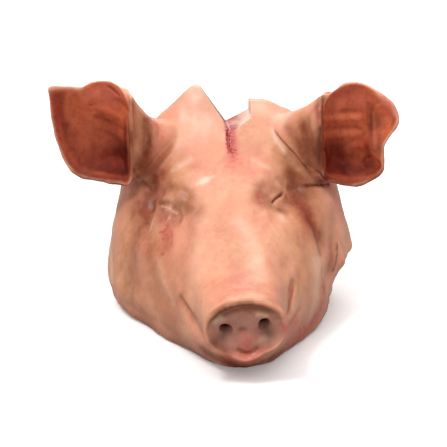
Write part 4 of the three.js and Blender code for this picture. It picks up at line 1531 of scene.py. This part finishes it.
@dataclass
class Head:
    """The whole head in one skin."""

    camera: PhotoCamera
    form: HeadForm = field(default_factory=HeadForm)
    voxel: float = 1.0
    smoothing: tuple[float, ...] = (0.5, -0.51) * 3
    melting: tuple[float, ...] = (0.6,) * 45
    most_triangles: int = 196000
    lump_waves: tuple[tuple[float, float, int], ...] = ((48.0, 0.5, 7), (20.0, 0.24, 9), (8.0, 0.07, 11))

    def __post_init__(self) -> None:
        """Sets up the parts that share its form."""
        self.nostrils = Nostrils(self.form)
        self.split = NapeSplit()
        self.neck = NeckCut(self.form)
        self.ears = (LEFT_EAR, RIGHT_EAR)

    def rough(self) -> bpy.types.Object:
        """Joins the parts and makes one even skin of them.

        Returns:
            The object, with even, small faces.
        """
        body = self.form.shell().to_object("head_skin")
        for side in (-1, 1):
            combine(body, self.nostrils.shell(side).to_object("nostril"), "DIFFERENCE")
        combine(body, self.split.shell().to_object("split"), "DIFFERENCE")
        for at, half in self.neck.raised():
            combine(body, self.neck.egg(at, half).to_object("raised"), "UNION")
        for at, half in (self.neck.cord_hole, self.neck.windpipe_hole):
            combine(body, self.neck.egg(at, half).to_object("hole"), "DIFFERENCE")
        points = read(body.data, "co") / MM
        faces = [list(p.vertices) for p in body.data.polygons]
        parts = [shell for ear in self.ears for shell in (ear.stump_shell(), ear.cup())]
        bpy.data.objects.remove(body, do_unlink=True)
        whole = Shell(points, faces).joined(*parts).to_object("head_skin")
        even = whole.modifiers.new("even", "REMESH")
        even.mode = "VOXEL"
        even.voxel_size = self.voxel * MM
        return modified(whole)

    def placed(self, tree: BVHTree, pixels: Sequence[Pixel], step: float = 1.5) -> np.ndarray:
        """Drops a line of pixels onto the skin along the lines of sight.

        Args:
            tree: the skin.
            pixels: the line's corners.
            step: how many pixels apart the dropped points are.

        Returns:
            The points that it hits.
        """
        corners = np.array(pixels, dtype=float)
        if len(corners) > 2:
            corners = catmull_rom(corners, 6 * len(corners))
        reach = reached(corners)
        places = np.linspace(0, reach[-1], max(2, int(reach[-1] / step))) if len(corners) > 1 else [0.0]
        hits = []
        for place in places:
            pixel = tuple(np.interp(place, reach, corners[:, k]) for k in range(2))
            start, heading = self.camera.ray(pixel)
            hit = tree.ray_cast(start, heading)[0]
            if hit is not None:
                hits.append(tuple(hit))
        return np.array(hits).reshape(-1, 3)

    @staticmethod
    def near(points: np.ndarray, path: np.ndarray, reach: float) -> np.ndarray:
        """The numbers of the points within reach of a path's box."""
        low, high = path.min(axis=0) - reach, path.max(axis=0) + reach
        return np.flatnonzero(((points > low) & (points < high)).all(axis=1))

    def folds(self, tree: BVHTree, points: np.ndarray, normals: np.ndarray, masks: Masks) -> np.ndarray:
        """Works out what the lines and bumps do to the skin, and the painted shade in the lines' bottoms.

        Args:
            tree: the skin.
            points: its points.
            normals: its directions outwards.
            masks: takes the painted shade of the creases.

        Returns:
            How far each point goes out.
        """
        lift = np.zeros(len(points))
        shade = np.zeros(len(points))
        for bump in BUMPS:
            path = self.placed(tree, (bump.pixel,))
            if len(path):
                away = ((points - path[0]) ** 2).sum(axis=1)
                lift += bump.height * np.exp(-away / bump.reach**2)
        for line in LINES:
            path = self.placed(tree, line.pixels)
            if len(path) < 2:
                LOG.warning("a line at %s misses the skin", line.pixels[0])
                continue
            close = self.near(points, path, 7 * line.width)
            at = nearest_on_line(points[close], path)
            taper = smooth(0, 0.2, at.along) * smooth(1, 0.8, at.along)
            profile = np.exp(-((at.distance / line.width) ** 2))
            if line.fold is Fold.STEP:
                left = np.einsum("ij,ij->i", np.cross(normals[close], at.heading), at.offset)
                left = left * math.copysign(1.0, line.height)
                fall = np.exp(-((at.distance / (4.5 * line.width)) ** 2))
                high = smooth(-0.8, 0.8, left / line.width) - 0.35
                lift[close] += abs(line.height) * taper * fall * high
                shade[close] = np.maximum(shade[close], line.shade * taper * profile)
                continue
            sign = 1.0 if line.fold is Fold.RIDGE else -1.0
            puff = np.exp(-(((at.distance - 2.3 * line.width) / (1.4 * line.width)) ** 2))
            lift[close] += sign * line.height * taper * (profile - 0.16 * puff)
            if line.shade:
                narrow = np.exp(-((at.distance / (0.8 * line.width)) ** 2))
                shade[close] = np.maximum(shade[close], line.shade * taper * narrow)
        # The lines' bottoms are darkened with painted shade.
        masks.add(Mask.CREASE, shade)
        return lift

    def lumps(self, points: np.ndarray) -> np.ndarray:
        """Soft unevenness all over the skin.

        Args:
            points: the skin's points.

        Returns:
            How far each goes out.
        """
        draw = np.random.default_rng(7)
        total = np.zeros(len(points))
        for size, amount, waves in self.lump_waves:
            for _ in range(waves):
                heading = draw.normal(size=3)
                heading *= 2 * np.pi / (size * draw.uniform(0.8, 1.3) * np.linalg.norm(heading))
                bend = draw.normal(size=3)
                bend *= 2 * np.pi / (2.3 * size * np.linalg.norm(bend))
                phase = points @ heading + draw.uniform(0, 6) + 1.5 * np.sin(points @ bend)
                total += 1.4 * amount / math.sqrt(waves) * np.sin(phase)
        return total

    def mark_parts(self, points: np.ndarray, normals: np.ndarray, masks: Masks) -> None:
        """Marks the ears' insides and their painted shade towards the canals, the disc, the painted shade in
        the nostrils, and the cut flesh.

        Args:
            points: the head's points.
            normals: its directions outwards.
            masks: takes the marks.
        """
        for ear in self.ears:
            ear.mark(points, masks)
        self.form.mark_disc(points, masks)
        self.nostrils.mark(points, masks)
        cut = self.neck.mark(points, normals, masks)
        split, depth = self.split.on_walls(points, normals)
        masks.add(Mask.CUT, np.maximum(cut, split))
        wobble = 2.0 * self.neck.wobble(points[:, 1], points[:, 2], 9)
        masks.add(Mask.MEAT, split * smooth(13, 8, depth + wobble))
        flat = np.flatnonzero(cut > 0.01)
        meat = smooth(-0.04, 0.08, self.neck.meat(points[flat])) * (1 - split[flat])
        masks.values[Mask.MEAT][flat] = np.maximum(masks.values[Mask.MEAT][flat], meat)
        edge = nearest_on_line(points[flat], self.form.neck_outline()).distance
        masks.values[Mask.RIND][flat] = smooth(*self.neck.rind_gap, edge)

    def stain(self, tree: BVHTree, points: np.ndarray, masks: Masks) -> None:
        """Drops the stains, the painted shade and the painted highlights onto the skin.

        Args:
            tree: the skin.
            points: its points.
            masks: takes the stains.
        """
        for stain in STAINS:
            path = self.placed(tree, stain.pixels)
            if len(path) == 0:
                LOG.warning("a stain at %s misses the skin", stain.pixels[0])
                continue
            close = self.near(points, path, 3 * stain.width)
            value = np.zeros(len(points))
            distance = nearest_on_line(points[close], path).distance
            value[close] = stain.strength * np.exp(-((distance / stain.width) ** 2))
            masks.add(stain.mask, value)

    def lighter(self, head: bpy.types.Object, points: np.ndarray, masks: Masks) -> None:
        """Takes faces away where the form is plain, and stores the masks on what is left.

        Args:
            head: the object.
            points: its points before, in millimetres.
            masks: the masks at those points.
        """
        triangles = sum(p.loop_total - 2 for p in head.data.polygons)
        fine = masks.values[Mask.EAR] * 0.5 + masks.values[Mask.DISC] + masks.values[Mask.CREASE]
        brow = smooth(40, -10, points[:, 1]) * smooth(90, 130, points[:, 2])
        fine += brow * smooth(80, 60, np.abs(points[:, 0]))
        group = head.vertex_groups.new(name="plain")
        plain = np.round(np.clip(1 - fine, 0.15, 1.0), 1)
        for level in np.unique(plain):
            group.add(np.flatnonzero(plain == level).tolist(), float(level), "REPLACE")
        fewer = head.modifiers.new("fewer", "DECIMATE")
        fewer.ratio = min(1.0, self.most_triangles / triangles)
        fewer.vertex_group = "plain"
        fewer.vertex_group_factor = 1.0
        modified(head)
        lookup = KDTree(len(points))
        for number, place in enumerate(points.tolist()):
            lookup.insert(place, number)
        lookup.balance()
        rows = [lookup.find(place)[1] for place in (read(head.data, "co") / MM).tolist()]
        masks.write(head.data, np.array(rows))
        head.vertex_groups.clear()

    def build(self) -> bpy.types.Object:
        """Makes the finished mesh with its masks.

        Returns:
            The object.
        """
        head = self.rough()
        mesh = head.data
        LOG.info("even skin: %d points", len(mesh.vertices))
        points = drawn_in(mesh, read(mesh, "co") / MM, self.smoothing, 1.0)
        melt = np.max([ear.root_zone(points) for ear in self.ears], axis=0)
        melt = melt * smooth(3, 9, self.neck.plane(points)) * (1 - self.split.near(points))
        points = drawn_in(mesh, points, self.melting, melt)
        move_points(mesh, points)
        normals = read(mesh, "normal")
        masks = Masks(len(points))
        self.mark_parts(points, normals, masks)
        faces = [tuple(p.vertices) for p in mesh.polygons]
        tree = BVHTree.FromPolygons([tuple(p) for p in points.tolist()], faces)
        self.stain(tree, points, masks)
        cut = masks.values[Mask.CUT]
        lift = self.folds(tree, points, normals, masks) + self.lumps(points) * (1 - cut)
        flat = smooth(*self.neck.face_gap, np.abs(self.neck.plane(points))) * (normals[:, 1] > 0.3)
        lift += flat * self.neck.relief(points, masks.values[Mask.RIND]) * (1 - masks.values[Mask.BONE])
        lift *= smooth(0.4, 3.0, points[:, 2])
        points = points + lift[:, None] * normals
        points[:, 2] = np.maximum(points[:, 2], 0.0)
        move_points(mesh, points)
        self.lighter(head, points, masks)
        head.data.shade_smooth()
        LOG.info("finished skin: %d points, %d faces", len(head.data.vertices), len(head.data.polygons))
        return head


Colour = tuple[float, float, float, float]
Groups = dict[str, bpy.types.NodeTree]
BLACK: Colour = (0.0, 0.0, 0.0, 1.0)
WHITE: Colour = (1.0, 1.0, 1.0, 1.0)


def tone(*channels: int) -> Colour:
    """The shader's colour for red, green and blue as a screen shows them, 0 to 255."""
    shares = [c / 255 for c in channels]
    return (*(c / 12.92 if c <= 0.04045 else ((c + 0.055) / 1.055) ** 2.4 for c in shares), 1.0)


@dataclass
class Weave:
    """Short ways to lay out nodes in a tree."""

    tree: bpy.types.NodeTree

    @classmethod
    def of_group(cls, name: str, inputs: dict[str, object], outputs: dict[str, str]) -> Weave:
        """Starts a shader node group.

        Args:
            name: the group's name.
            inputs: the default of each input, a colour or a number.
            outputs: the kind of each output, Color or Float.

        Returns:
            The ways to lay out its nodes.
        """
        group = bpy.data.node_groups.new(name, "ShaderNodeTree")
        for title, default in inputs.items():
            kind = "Color" if isinstance(default, tuple) else "Float"
            socket = group.interface.new_socket(title, in_out="INPUT", socket_type="NodeSocket" + kind)
            socket.default_value = default
        for title, kind in outputs.items():
            group.interface.new_socket(title, in_out="OUTPUT", socket_type="NodeSocket" + kind)
        group.nodes.new("NodeGroupInput").name = "in"
        group.nodes.new("NodeGroupOutput").name = "out"
        return cls(group)

    def held(self, title: str) -> bpy.types.NodeSocket:
        """One of the group's inputs."""
        return self.tree.nodes["in"].outputs[title]

    def put_out(self, **sockets: bpy.types.NodeSocket) -> bpy.types.NodeTree:
        """Links the group's outputs.

        Args:
            sockets: what each output puts out.

        Returns:
            The group.
        """
        for title, socket in sockets.items():
            self.tree.links.new(socket, self.tree.nodes["out"].inputs[title])
        return self.tree

    def feed(self, socket: bpy.types.NodeSocket, value: object) -> None:
        """Links a socket, or sets it to a constant.

        Args:
            socket: the input.
            value: an output socket, a number or a colour.
        """
        if isinstance(value, bpy.types.NodeSocket):
            self.tree.links.new(value, socket)
        else:
            socket.default_value = value

    def node(self, kind: str, **sockets: object) -> bpy.types.Node:
        """Adds a node and sets it up.

        Args:
            kind: the node's type, without its prefix.
            sockets: attributes in lower case, and inputs by their name with _ for blanks.

        Returns:
            The node.
        """
        made = self.tree.nodes.new("ShaderNode" + kind)
        for key, value in sockets.items():
            if key[0].islower():
                setattr(made, key, value)
            else:
                self.feed(made.inputs[key.replace("_", " ")], value)
        return made

    def place(self, stretch: Point | None = None) -> bpy.types.NodeSocket:
        """The shaded place on the object, with its three directions stretched where that is given."""
        at = self.node("TexCoord").outputs["Object"]
        return self.node("Mapping", Vector=at, Scale=stretch).outputs[0] if stretch else at

    def noise(
        self, at: object, size: object, detail: float, rough: float, bent: float = 0.0
    ) -> bpy.types.NodeSocket:
        """A noise at a place: its waves to the metre, octaves, share of the finer ones, distortion."""
        made = self.node("TexNoise", Vector=at, Scale=size, Detail=detail, Roughness=rough, Distortion=bent)
        return made.outputs["Fac"]

    def cells(self, at: object, size: object) -> bpy.types.Node:
        """Adds round cells."""
        return self.node("TexVoronoi", Vector=at, Scale=size, feature="F1", Randomness=1.0)

    def math(self, operation: str, *values: object, clamp: bool = False) -> bpy.types.NodeSocket:
        """Adds a sum of up to three values.

        Args:
            operation: what to do, such as MULTIPLY.
            values: numbers or sockets.
            clamp: whether the result stays between 0 and 1.

        Returns:
            The result.
        """
        made = self.node("Math", operation=operation, use_clamp=clamp)
        for socket, value in zip(made.inputs, values):
            self.feed(socket, value)
        return made.outputs[0]

    def mix(self, share: object, a: object, b: object, blend: str = "MIX") -> bpy.types.NodeSocket:
        """Mixes two colours.

        Args:
            share: how much of the second one.
            a: the first colour.
            b: the second colour.
            blend: how they mix.

        Returns:
            The mixed colour.
        """
        made = self.node("Mix", data_type="RGBA", blend_type=blend, clamp_factor=True)
        for number, value in ((0, share), (6, a), (7, b)):
            self.feed(made.inputs[number], value)
        return made.outputs[2]

    def ramp(self, value: bpy.types.NodeSocket, low: float, high: float) -> bpy.types.NodeSocket:
        """Maps the range from low to high softly to 0 to 1."""
        kind = {"interpolation_type": "SMOOTHSTEP"}
        return self.node("MapRange", **kind, Value=value, From_Min=low, From_Max=high).outputs[0]

    def attribute(self, mask: Mask) -> bpy.types.NodeSocket:
        """A mask's value at the shaded place."""
        return self.node("Attribute", attribute_name=mask.value).outputs["Fac"]


def stain_group(name: str, blend: str) -> bpy.types.NodeTree:
    """Lays a stain over a colour, its edge broken up by blotches; the painted shade is laid with it too.

    Args:
        name: the group's name.
        blend: how the stain mixes with the colour.

    Returns:
        The group.
    """
    inputs = {"Colour": WHITE, "Stain": BLACK, "Mask": 0.0, "Blotch size": 160.0, "Breakup": 0.5}
    w = Weave.of_group(name, inputs, {"Colour": "Color"})
    blotch = w.noise(w.place(), w.held("Blotch size"), 4.0, 0.6)
    centred = w.math("SUBTRACT", w.ramp(blotch, 0.32, 0.68), 0.5)
    broken = w.math("MULTIPLY", centred, w.held("Breakup"))
    strength = w.math("MULTIPLY", w.held("Mask"), w.math("MULTIPLY_ADD", broken, 2.0, 1.0), clamp=True)
    return w.put_out(Colour=w.mix(strength, w.held("Colour"), w.held("Stain"), blend))


def mottle_group() -> bpy.types.NodeTree:
    """Mottled colour from three tones, in patches and fine blotches.

    Returns:
        The group.
    """
    inputs = {"Ground": WHITE, "Patch": WHITE, "Fleck": WHITE, "Patch size": 30.0, "Fleck size": 220.0}
    outputs = {"Colour": "Color", "Value": "Float"}
    w = Weave.of_group("mottled colour", inputs | {"Fleck amount": 0.3}, outputs)
    patch = w.noise(w.place(), w.held("Patch size"), 3.0, 0.55, 0.6)
    fleck = w.noise(w.place(), w.held("Fleck size"), 5.0, 0.62)
    ground = w.mix(w.ramp(patch, 0.36, 0.66), w.held("Ground"), w.held("Patch"))
    amount = w.math("MULTIPLY", w.ramp(fleck, 0.46, 0.7), w.held("Fleck amount"))
    return w.put_out(Colour=w.mix(amount, ground, w.held("Fleck")), Value=fleck)


def pore_group() -> bpy.types.NodeTree:
    """Fine skin relief: pores and small wrinkles.

    Returns:
        The group.
    """
    inputs = {"Pore size": 900.0, "Wrinkle size": 160.0, "Wrinkle share": 0.5}
    w = Weave.of_group("pores and wrinkles", inputs, {"Height": "Float"})
    dots = w.ramp(w.cells(w.place(), w.held("Pore size")).outputs["Distance"], 0.05, 0.45)
    wrinkle = w.noise(w.place((1.0, 0.55, 1.6)), w.held("Wrinkle size"), 6.0, 0.6, 0.5)
    pores = w.math("MULTIPLY", dots, 0.25)
    return w.put_out(Height=w.math("MULTIPLY_ADD", wrinkle, w.held("Wrinkle share"), pores))


def speck_group() -> bpy.types.NodeTree:
    """Scattered small spots, such as dark pores and dirt.

    Returns:
        The group.
    """
    w = Weave.of_group("scattered specks", {"Spots": 260.0, "Size": 0.16, "Share": 0.3}, {"Mask": "Float"})
    cells = w.cells(w.place(), w.held("Spots"))
    chance = w.node("SeparateColor", Color=cells.outputs["Color"]).outputs[0]
    radius = w.math("MULTIPLY", w.held("Size"), w.math("MULTIPLY_ADD", chance, 2.0, 0.4))
    spot = w.math("SUBTRACT", 1.0, w.math("DIVIDE", cells.outputs["Distance"], radius), clamp=True)
    chosen = w.math("LESS_THAN", chance, w.held("Share"))
    return w.put_out(Mask=w.math("MULTIPLY", chosen, w.ramp(spot, 0.0, 0.7)))


def streak_group() -> bpy.types.NodeTree:
    """Soft upright streaks, as scraping and wet leave on skin.

    Returns:
        The group.
    """
    w = Weave.of_group("upright streaks", {"Size": 60.0}, {"Mask": "Float"})
    streak = w.noise(w.place((1.0, 0.6, 0.22)), w.held("Size"), 4.0, 0.6, 0.8)
    return w.put_out(Mask=w.ramp(streak, 0.42, 0.72))


@dataclass(frozen=True)
class Mottle:
    """Three tones in patches and flecks; a size counts them to the metre."""

    ground: Colour
    patch: Colour
    fleck: Colour
    patch_size: float
    fleck_size: float
    amount: float

    def lay(self, w: Weave, groups: Groups) -> bpy.types.Node:
        """Makes the mottled colour.

        Args:
            w: the material's nodes.
            groups: the shared node groups by name.

        Returns:
            The node that puts out Colour, and the flecks as Value.
        """
        return w.node(
            "Group",
            node_tree=groups["mottle"],
            Ground=self.ground,
            Patch=self.patch,
            Fleck=self.fleck,
            Patch_size=self.patch_size,
            Fleck_size=self.fleck_size,
            Fleck_amount=self.amount,
        )

    def over(self, w: Weave, groups: Groups, mask: Mask, below: object) -> bpy.types.NodeSocket:
        """Lays the mottled colour over the one below where a mask says so."""
        return w.mix(w.attribute(mask), below, self.lay(w, groups).outputs["Colour"])


@dataclass(frozen=True)
class Layer:
    """A colour that a mask lays over what is below it, its blotches counted to the metre."""

    mask: Mask
    colour: Colour
    size: float = 120.0
    breakup: float = 0.2
    group: str = "stain"

    def lay(self, w: Weave, groups: Groups, below: object) -> bpy.types.NodeSocket:
        """Lays it over a colour.

        Args:
            w: the material's nodes.
            groups: the shared node groups by name.
            below: the colour below.

        Returns:
            The colour with the layer on it.
        """
        return w.node(
            "Group",
            node_tree=groups[self.group],
            Colour=below,
            Stain=self.colour,
            Mask=w.attribute(self.mask),
            Blotch_size=self.size,
            Breakup=self.breakup,
        ).outputs["Colour"]


@dataclass(frozen=True)
class SkinFinish:
    """Scalded, scraped skin: cream and rose, with tan streaks and dark specks."""

    mottle: Mottle = Mottle(tone(241, 174, 140), tone(236, 157, 129), tone(220, 138, 106), 30.0, 200.0, 0.3)
    streak: Colour = tone(226, 172, 118)
    streak_share: float = 0.3
    speck: Colour = tone(128, 76, 54)
    speck_share: float = 0.5

    def lay(self, w: Weave, groups: Groups) -> tuple[bpy.types.NodeSocket, bpy.types.NodeSocket]:
        """Makes the skin's colour.

        Args:
            w: the material's nodes.
            groups: the shared node groups by name.

        Returns:
            The colour, and a value that wanders with its flecks.
        """
        mottled = self.mottle.lay(w, groups).outputs
        streaks = w.node("Group", node_tree=groups["streaks"], Size=70.0).outputs["Mask"]
        colour = w.mix(w.math("MULTIPLY", streaks, self.streak_share), mottled["Colour"], self.streak)
        specks = w.node("Group", node_tree=groups["specks"], Spots=190.0, Size=0.11, Share=0.2)
        share = w.math("MULTIPLY", specks.outputs["Mask"], self.speck_share)
        return w.mix(share, colour, self.speck), mottled["Value"]


@dataclass(frozen=True)
class EarFinish:
    """The thin, reddened skin inside the ears, with painted shade towards the canal."""

    mottle: Mottle = Mottle(tone(216, 114, 76), tone(200, 96, 58), tone(160, 64, 36), 44.0, 160.0, 0.5)
    # Painted shade towards the canal.
    canal: Layer = Layer(Mask.CANAL_SHADE, tone(122, 30, 6), 60.0, 0.12)
    rim: Layer = Layer(Mask.RIM, tone(236, 172, 140), 120.0, 0.2)

    def lay(self, w: Weave, groups: Groups, skin: object) -> bpy.types.NodeSocket:
        """Lays the ears' insides over the colour of the skin."""
        colour = self.mottle.over(w, groups, Mask.EAR, skin)
        return self.rim.lay(w, groups, self.canal.lay(w, groups, colour))


@dataclass(frozen=True)
class DiscFinish:
    """The bare, mauve-brown skin of the snout's disc, its tones also darkened as painted shade under the
    rim.
    """

    mottle: Mottle = Mottle(tone(210, 148, 126), tone(196, 130, 108), tone(160, 100, 82), 60.0, 200.0, 0.22)

    def lay(self, w: Weave, groups: Groups, skin: object) -> bpy.types.NodeSocket:
        """Lays the disc over the colour of the skin."""
        return self.mottle.over(w, groups, Mask.DISC, skin)


@dataclass(frozen=True)
class FleshFinish:
    """Cut flesh: red muscle with its grain, cream fat, bone and the edge of the skin."""

    muscle: Mottle = Mottle(tone(186, 66, 58), tone(136, 34, 32), tone(214, 138, 120), 70.0, 240.0, 0.28)
    fat: Mottle = Mottle(tone(250, 226, 202), tone(244, 204, 180), tone(222, 150, 130), 60.0, 150.0, 0.3)
    bone: Layer = Layer(Mask.BONE, tone(236, 208, 184), 140.0, 0.1)
    rind: Layer = Layer(Mask.RIND, tone(226, 176, 138), 150.0, 0.1)

    def lay(self, w: Weave, groups: Groups, skin: object) -> bpy.types.NodeSocket:
        """Lays the cut flesh over the skin.

        Args:
            w: the material's nodes.
            groups: the shared node groups by name.
            skin: the colour of the skin.

        Returns:
            The colour with the cut on it.
        """
        flesh = self.muscle.over(w, groups, Mask.MEAT, self.fat.lay(w, groups).outputs["Colour"])
        flesh = self.bone.lay(w, groups, self.rind.lay(w, groups, flesh))
        return w.mix(w.attribute(Mask.CUT), skin, flesh)


@dataclass(frozen=True)
class HeadFinish:
    """The whole head's material, with all its finishes and a moist surface."""

    skin: SkinFinish = SkinFinish()
    ear: EarFinish = EarFinish()
    disc: DiscFinish = DiscFinish()
    flesh: FleshFinish = FleshFinish()
    over: tuple[Layer, ...] = (
        # Tan skin, and painted shade.
        Layer(Mask.TAN, tone(196, 130, 84), 90.0, 0.35),
        Layer(Mask.OLIVE, tone(160, 114, 74), 110.0, 0.3),
        Layer(Mask.PINK, tone(220, 112, 94), 200.0, 0.35),
        # Painted shade, darkening the colour by multiplying.
        Layer(Mask.PAINTED_SHADE, tone(172, 132, 114), 50.0, 0.2, "shade"),
        # Brown skin, and painted shade.
        Layer(Mask.BROWN, tone(120, 60, 34), 150.0, 0.4),
        # Pale skin, and painted highlights.
        Layer(Mask.PALE_AND_HIGHLIGHT, tone(250, 212, 186), 60.0, 0.2),
        # Painted shade in the nostrils and holes.
        Layer(Mask.CAVITY_SHADE, tone(98, 50, 38), 100.0, 0.0),
        # Painted shade in the creases.
        Layer(Mask.CREASE, tone(108, 42, 24), 160.0, 0.1),
        Layer(Mask.BLOOD, tone(170, 34, 34), 380.0, 1.0),
    )
    roughness: float = 0.33
    fleck_roughness: float = 0.24
    ear_roughness: float = 0.3
    wet_roughness: float = -0.12
    film: float = 0.1
    ear_film: float = -0.1
    wet_film: float = 0.35
    constants: tuple[tuple[str, object], ...] = (
        ("Coat Roughness", 0.25),
        ("Subsurface Weight", 0.22),
        ("Subsurface Radius", (1.0, 0.42, 0.26)),
        ("Subsurface Scale", 0.004),
        ("Specular IOR Level", 0.32),
    )

    def build(self, groups: Groups) -> bpy.types.Material:
        """Makes the material.

        Args:
            groups: the shared node groups by name.

        Returns:
            The material.
        """
        material = bpy.data.materials.new("raw_skin")
        material.use_nodes = True
        shader = material.node_tree.nodes["Principled BSDF"].inputs
        w = Weave(material.node_tree)
        colour, value = self.skin.lay(w, groups)
        for finish in (self.disc, self.ear, self.flesh, *self.over):
            colour = finish.lay(w, groups, colour)
        w.feed(shader["Base Color"], colour)
        sizes = {"Pore_size": 700.0, "Wrinkle_size": 150.0, "Wrinkle_share": 0.8}
        relief = w.node("Group", node_tree=groups["pores"], **sizes)
        bump = w.node("Bump", Height=relief.outputs["Height"], Strength=0.35, Distance=0.0007)
        w.feed(shader["Normal"], bump.outputs[0])
        wet = w.math("MAXIMUM", w.attribute(Mask.MEAT), w.attribute(Mask.BLOOD))
        ear = w.attribute(Mask.EAR)
        rough = w.math("MULTIPLY_ADD", value, self.fleck_roughness, self.roughness)
        rough = w.math("MULTIPLY_ADD", ear, self.ear_roughness, rough)
        w.feed(shader["Roughness"], w.math("MULTIPLY_ADD", wet, self.wet_roughness, rough))
        film = w.math("MULTIPLY_ADD", ear, self.ear_film, self.film)
        w.feed(shader["Coat Weight"], w.math("MULTIPLY_ADD", wet, self.wet_film, film))
        for title, constant in self.constants:
            shader[title].default_value = constant
        return material


@dataclass(frozen=True)
class Lamp:
    """A round lamp that shines at a place."""

    name: str
    at: Point
    aim: Point
    size: float
    power: float

    def build(self) -> None:
        """Hangs the lamp in the scene."""
        data = bpy.data.lights.new(self.name, "AREA")
        data.shape, data.size, data.energy = "DISK", self.size, self.power
        lamp = linked(self.name, data)
        lamp.location = self.at
        lamp.rotation_quaternion = (Vector(self.at) - Vector(self.aim)).to_track_quat("Z", "Y")


@dataclass(frozen=True)
class Studio:
    """A pale floor under soft light from overhead."""

    floor_size: float = 16.0
    floor_glow: float = 0.2
    floor_thrown_back: Colour = (0.4, 0.4, 0.4, 1.0)
    sun: float = 1.56
    sun_towards: Point = (-0.06, -0.34, 1.0)
    sun_width: float = 60.0
    sky: float = 0.38
    lamps: tuple[Lamp, ...] = (
        Lamp("highlight", (-0.5, -0.55, 1.35), (-0.02, 0.0, 0.17), 0.35, 7.0),
        Lamp("edge_light", (0.05, 1.0, 0.95), (0.0, 0.05, 0.2), 0.9, 6.0),
    )

    def build(self) -> None:
        """Makes the floor, the lamps and the sky."""
        half = self.floor_size / 2
        mesh = bpy.data.meshes.new("floor")
        corners = [(x * half, y * half, 0) for x, y in ((-1, -1), (1, -1), (1, 1), (-1, 1))]
        mesh.from_pydata(corners, [], [(0, 1, 2, 3)])
        mesh.materials.append(self.floor_material())
        linked("floor", mesh)
        data = bpy.data.lights.new("overhead", "SUN")
        data.energy, data.angle = self.sun, math.radians(self.sun_width)
        linked("overhead", data).rotation_quaternion = Vector(self.sun_towards).to_track_quat("Z", "Y")
        for lamp in self.lamps:
            lamp.build()
        world = bpy.data.worlds.new("sky")
        world.use_nodes = True
        background = world.node_tree.nodes["Background"].inputs
        background["Color"].default_value = WHITE
        background["Strength"].default_value = self.sky
        bpy.context.scene.world = world
        bpy.context.scene.view_settings.view_transform = "Standard"

    def floor_material(self) -> bpy.types.Material:
        """Makes the floor's finish, which throws back less light than it shows.

        Returns:
            The material.
        """
        material = bpy.data.materials.new("pale_floor")
        material.use_nodes = True
        shader = material.node_tree.nodes["Principled BSDF"].inputs
        shader["Roughness"].default_value = 0.85
        shader["Emission Strength"].default_value = self.floor_glow
        w = Weave(material.node_tree)
        seen = w.node("LightPath").outputs["Is Camera Ray"]
        w.feed(shader["Base Color"], w.mix(seen, self.floor_thrown_back, WHITE))
        w.feed(shader["Emission Color"], w.mix(seen, BLACK, WHITE))
        return material


def main() -> None:
    """Builds the head, its finish and the studio."""
    logging.basicConfig(level=logging.INFO, format="%(name)s: %(message)s")
    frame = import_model()
    LOG.info("solids: %s", ", ".join(frame["nodes"]))
    camera = PhotoCamera()
    camera.build()
    Studio().build()
    groups = {
        "stain": stain_group("blotchy stain", "MIX"),
        # Painted shade, laid by multiplying the colour darker.
        "shade": stain_group("blotchy shade", "MULTIPLY"),
        "mottle": mottle_group(),
        "pores": pore_group(),
        "specks": speck_group(),
        "streaks": streak_group(),
    }
    head = Head(camera).build()
    head.data.materials.clear()
    head.data.materials.append(HeadFinish().build(groups))
    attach(head, "root")
    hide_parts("head")
    LOG.info("piece %s: %d faces", head.name, len(head.data.polygons))


if __name__ == "__main__":
    main()
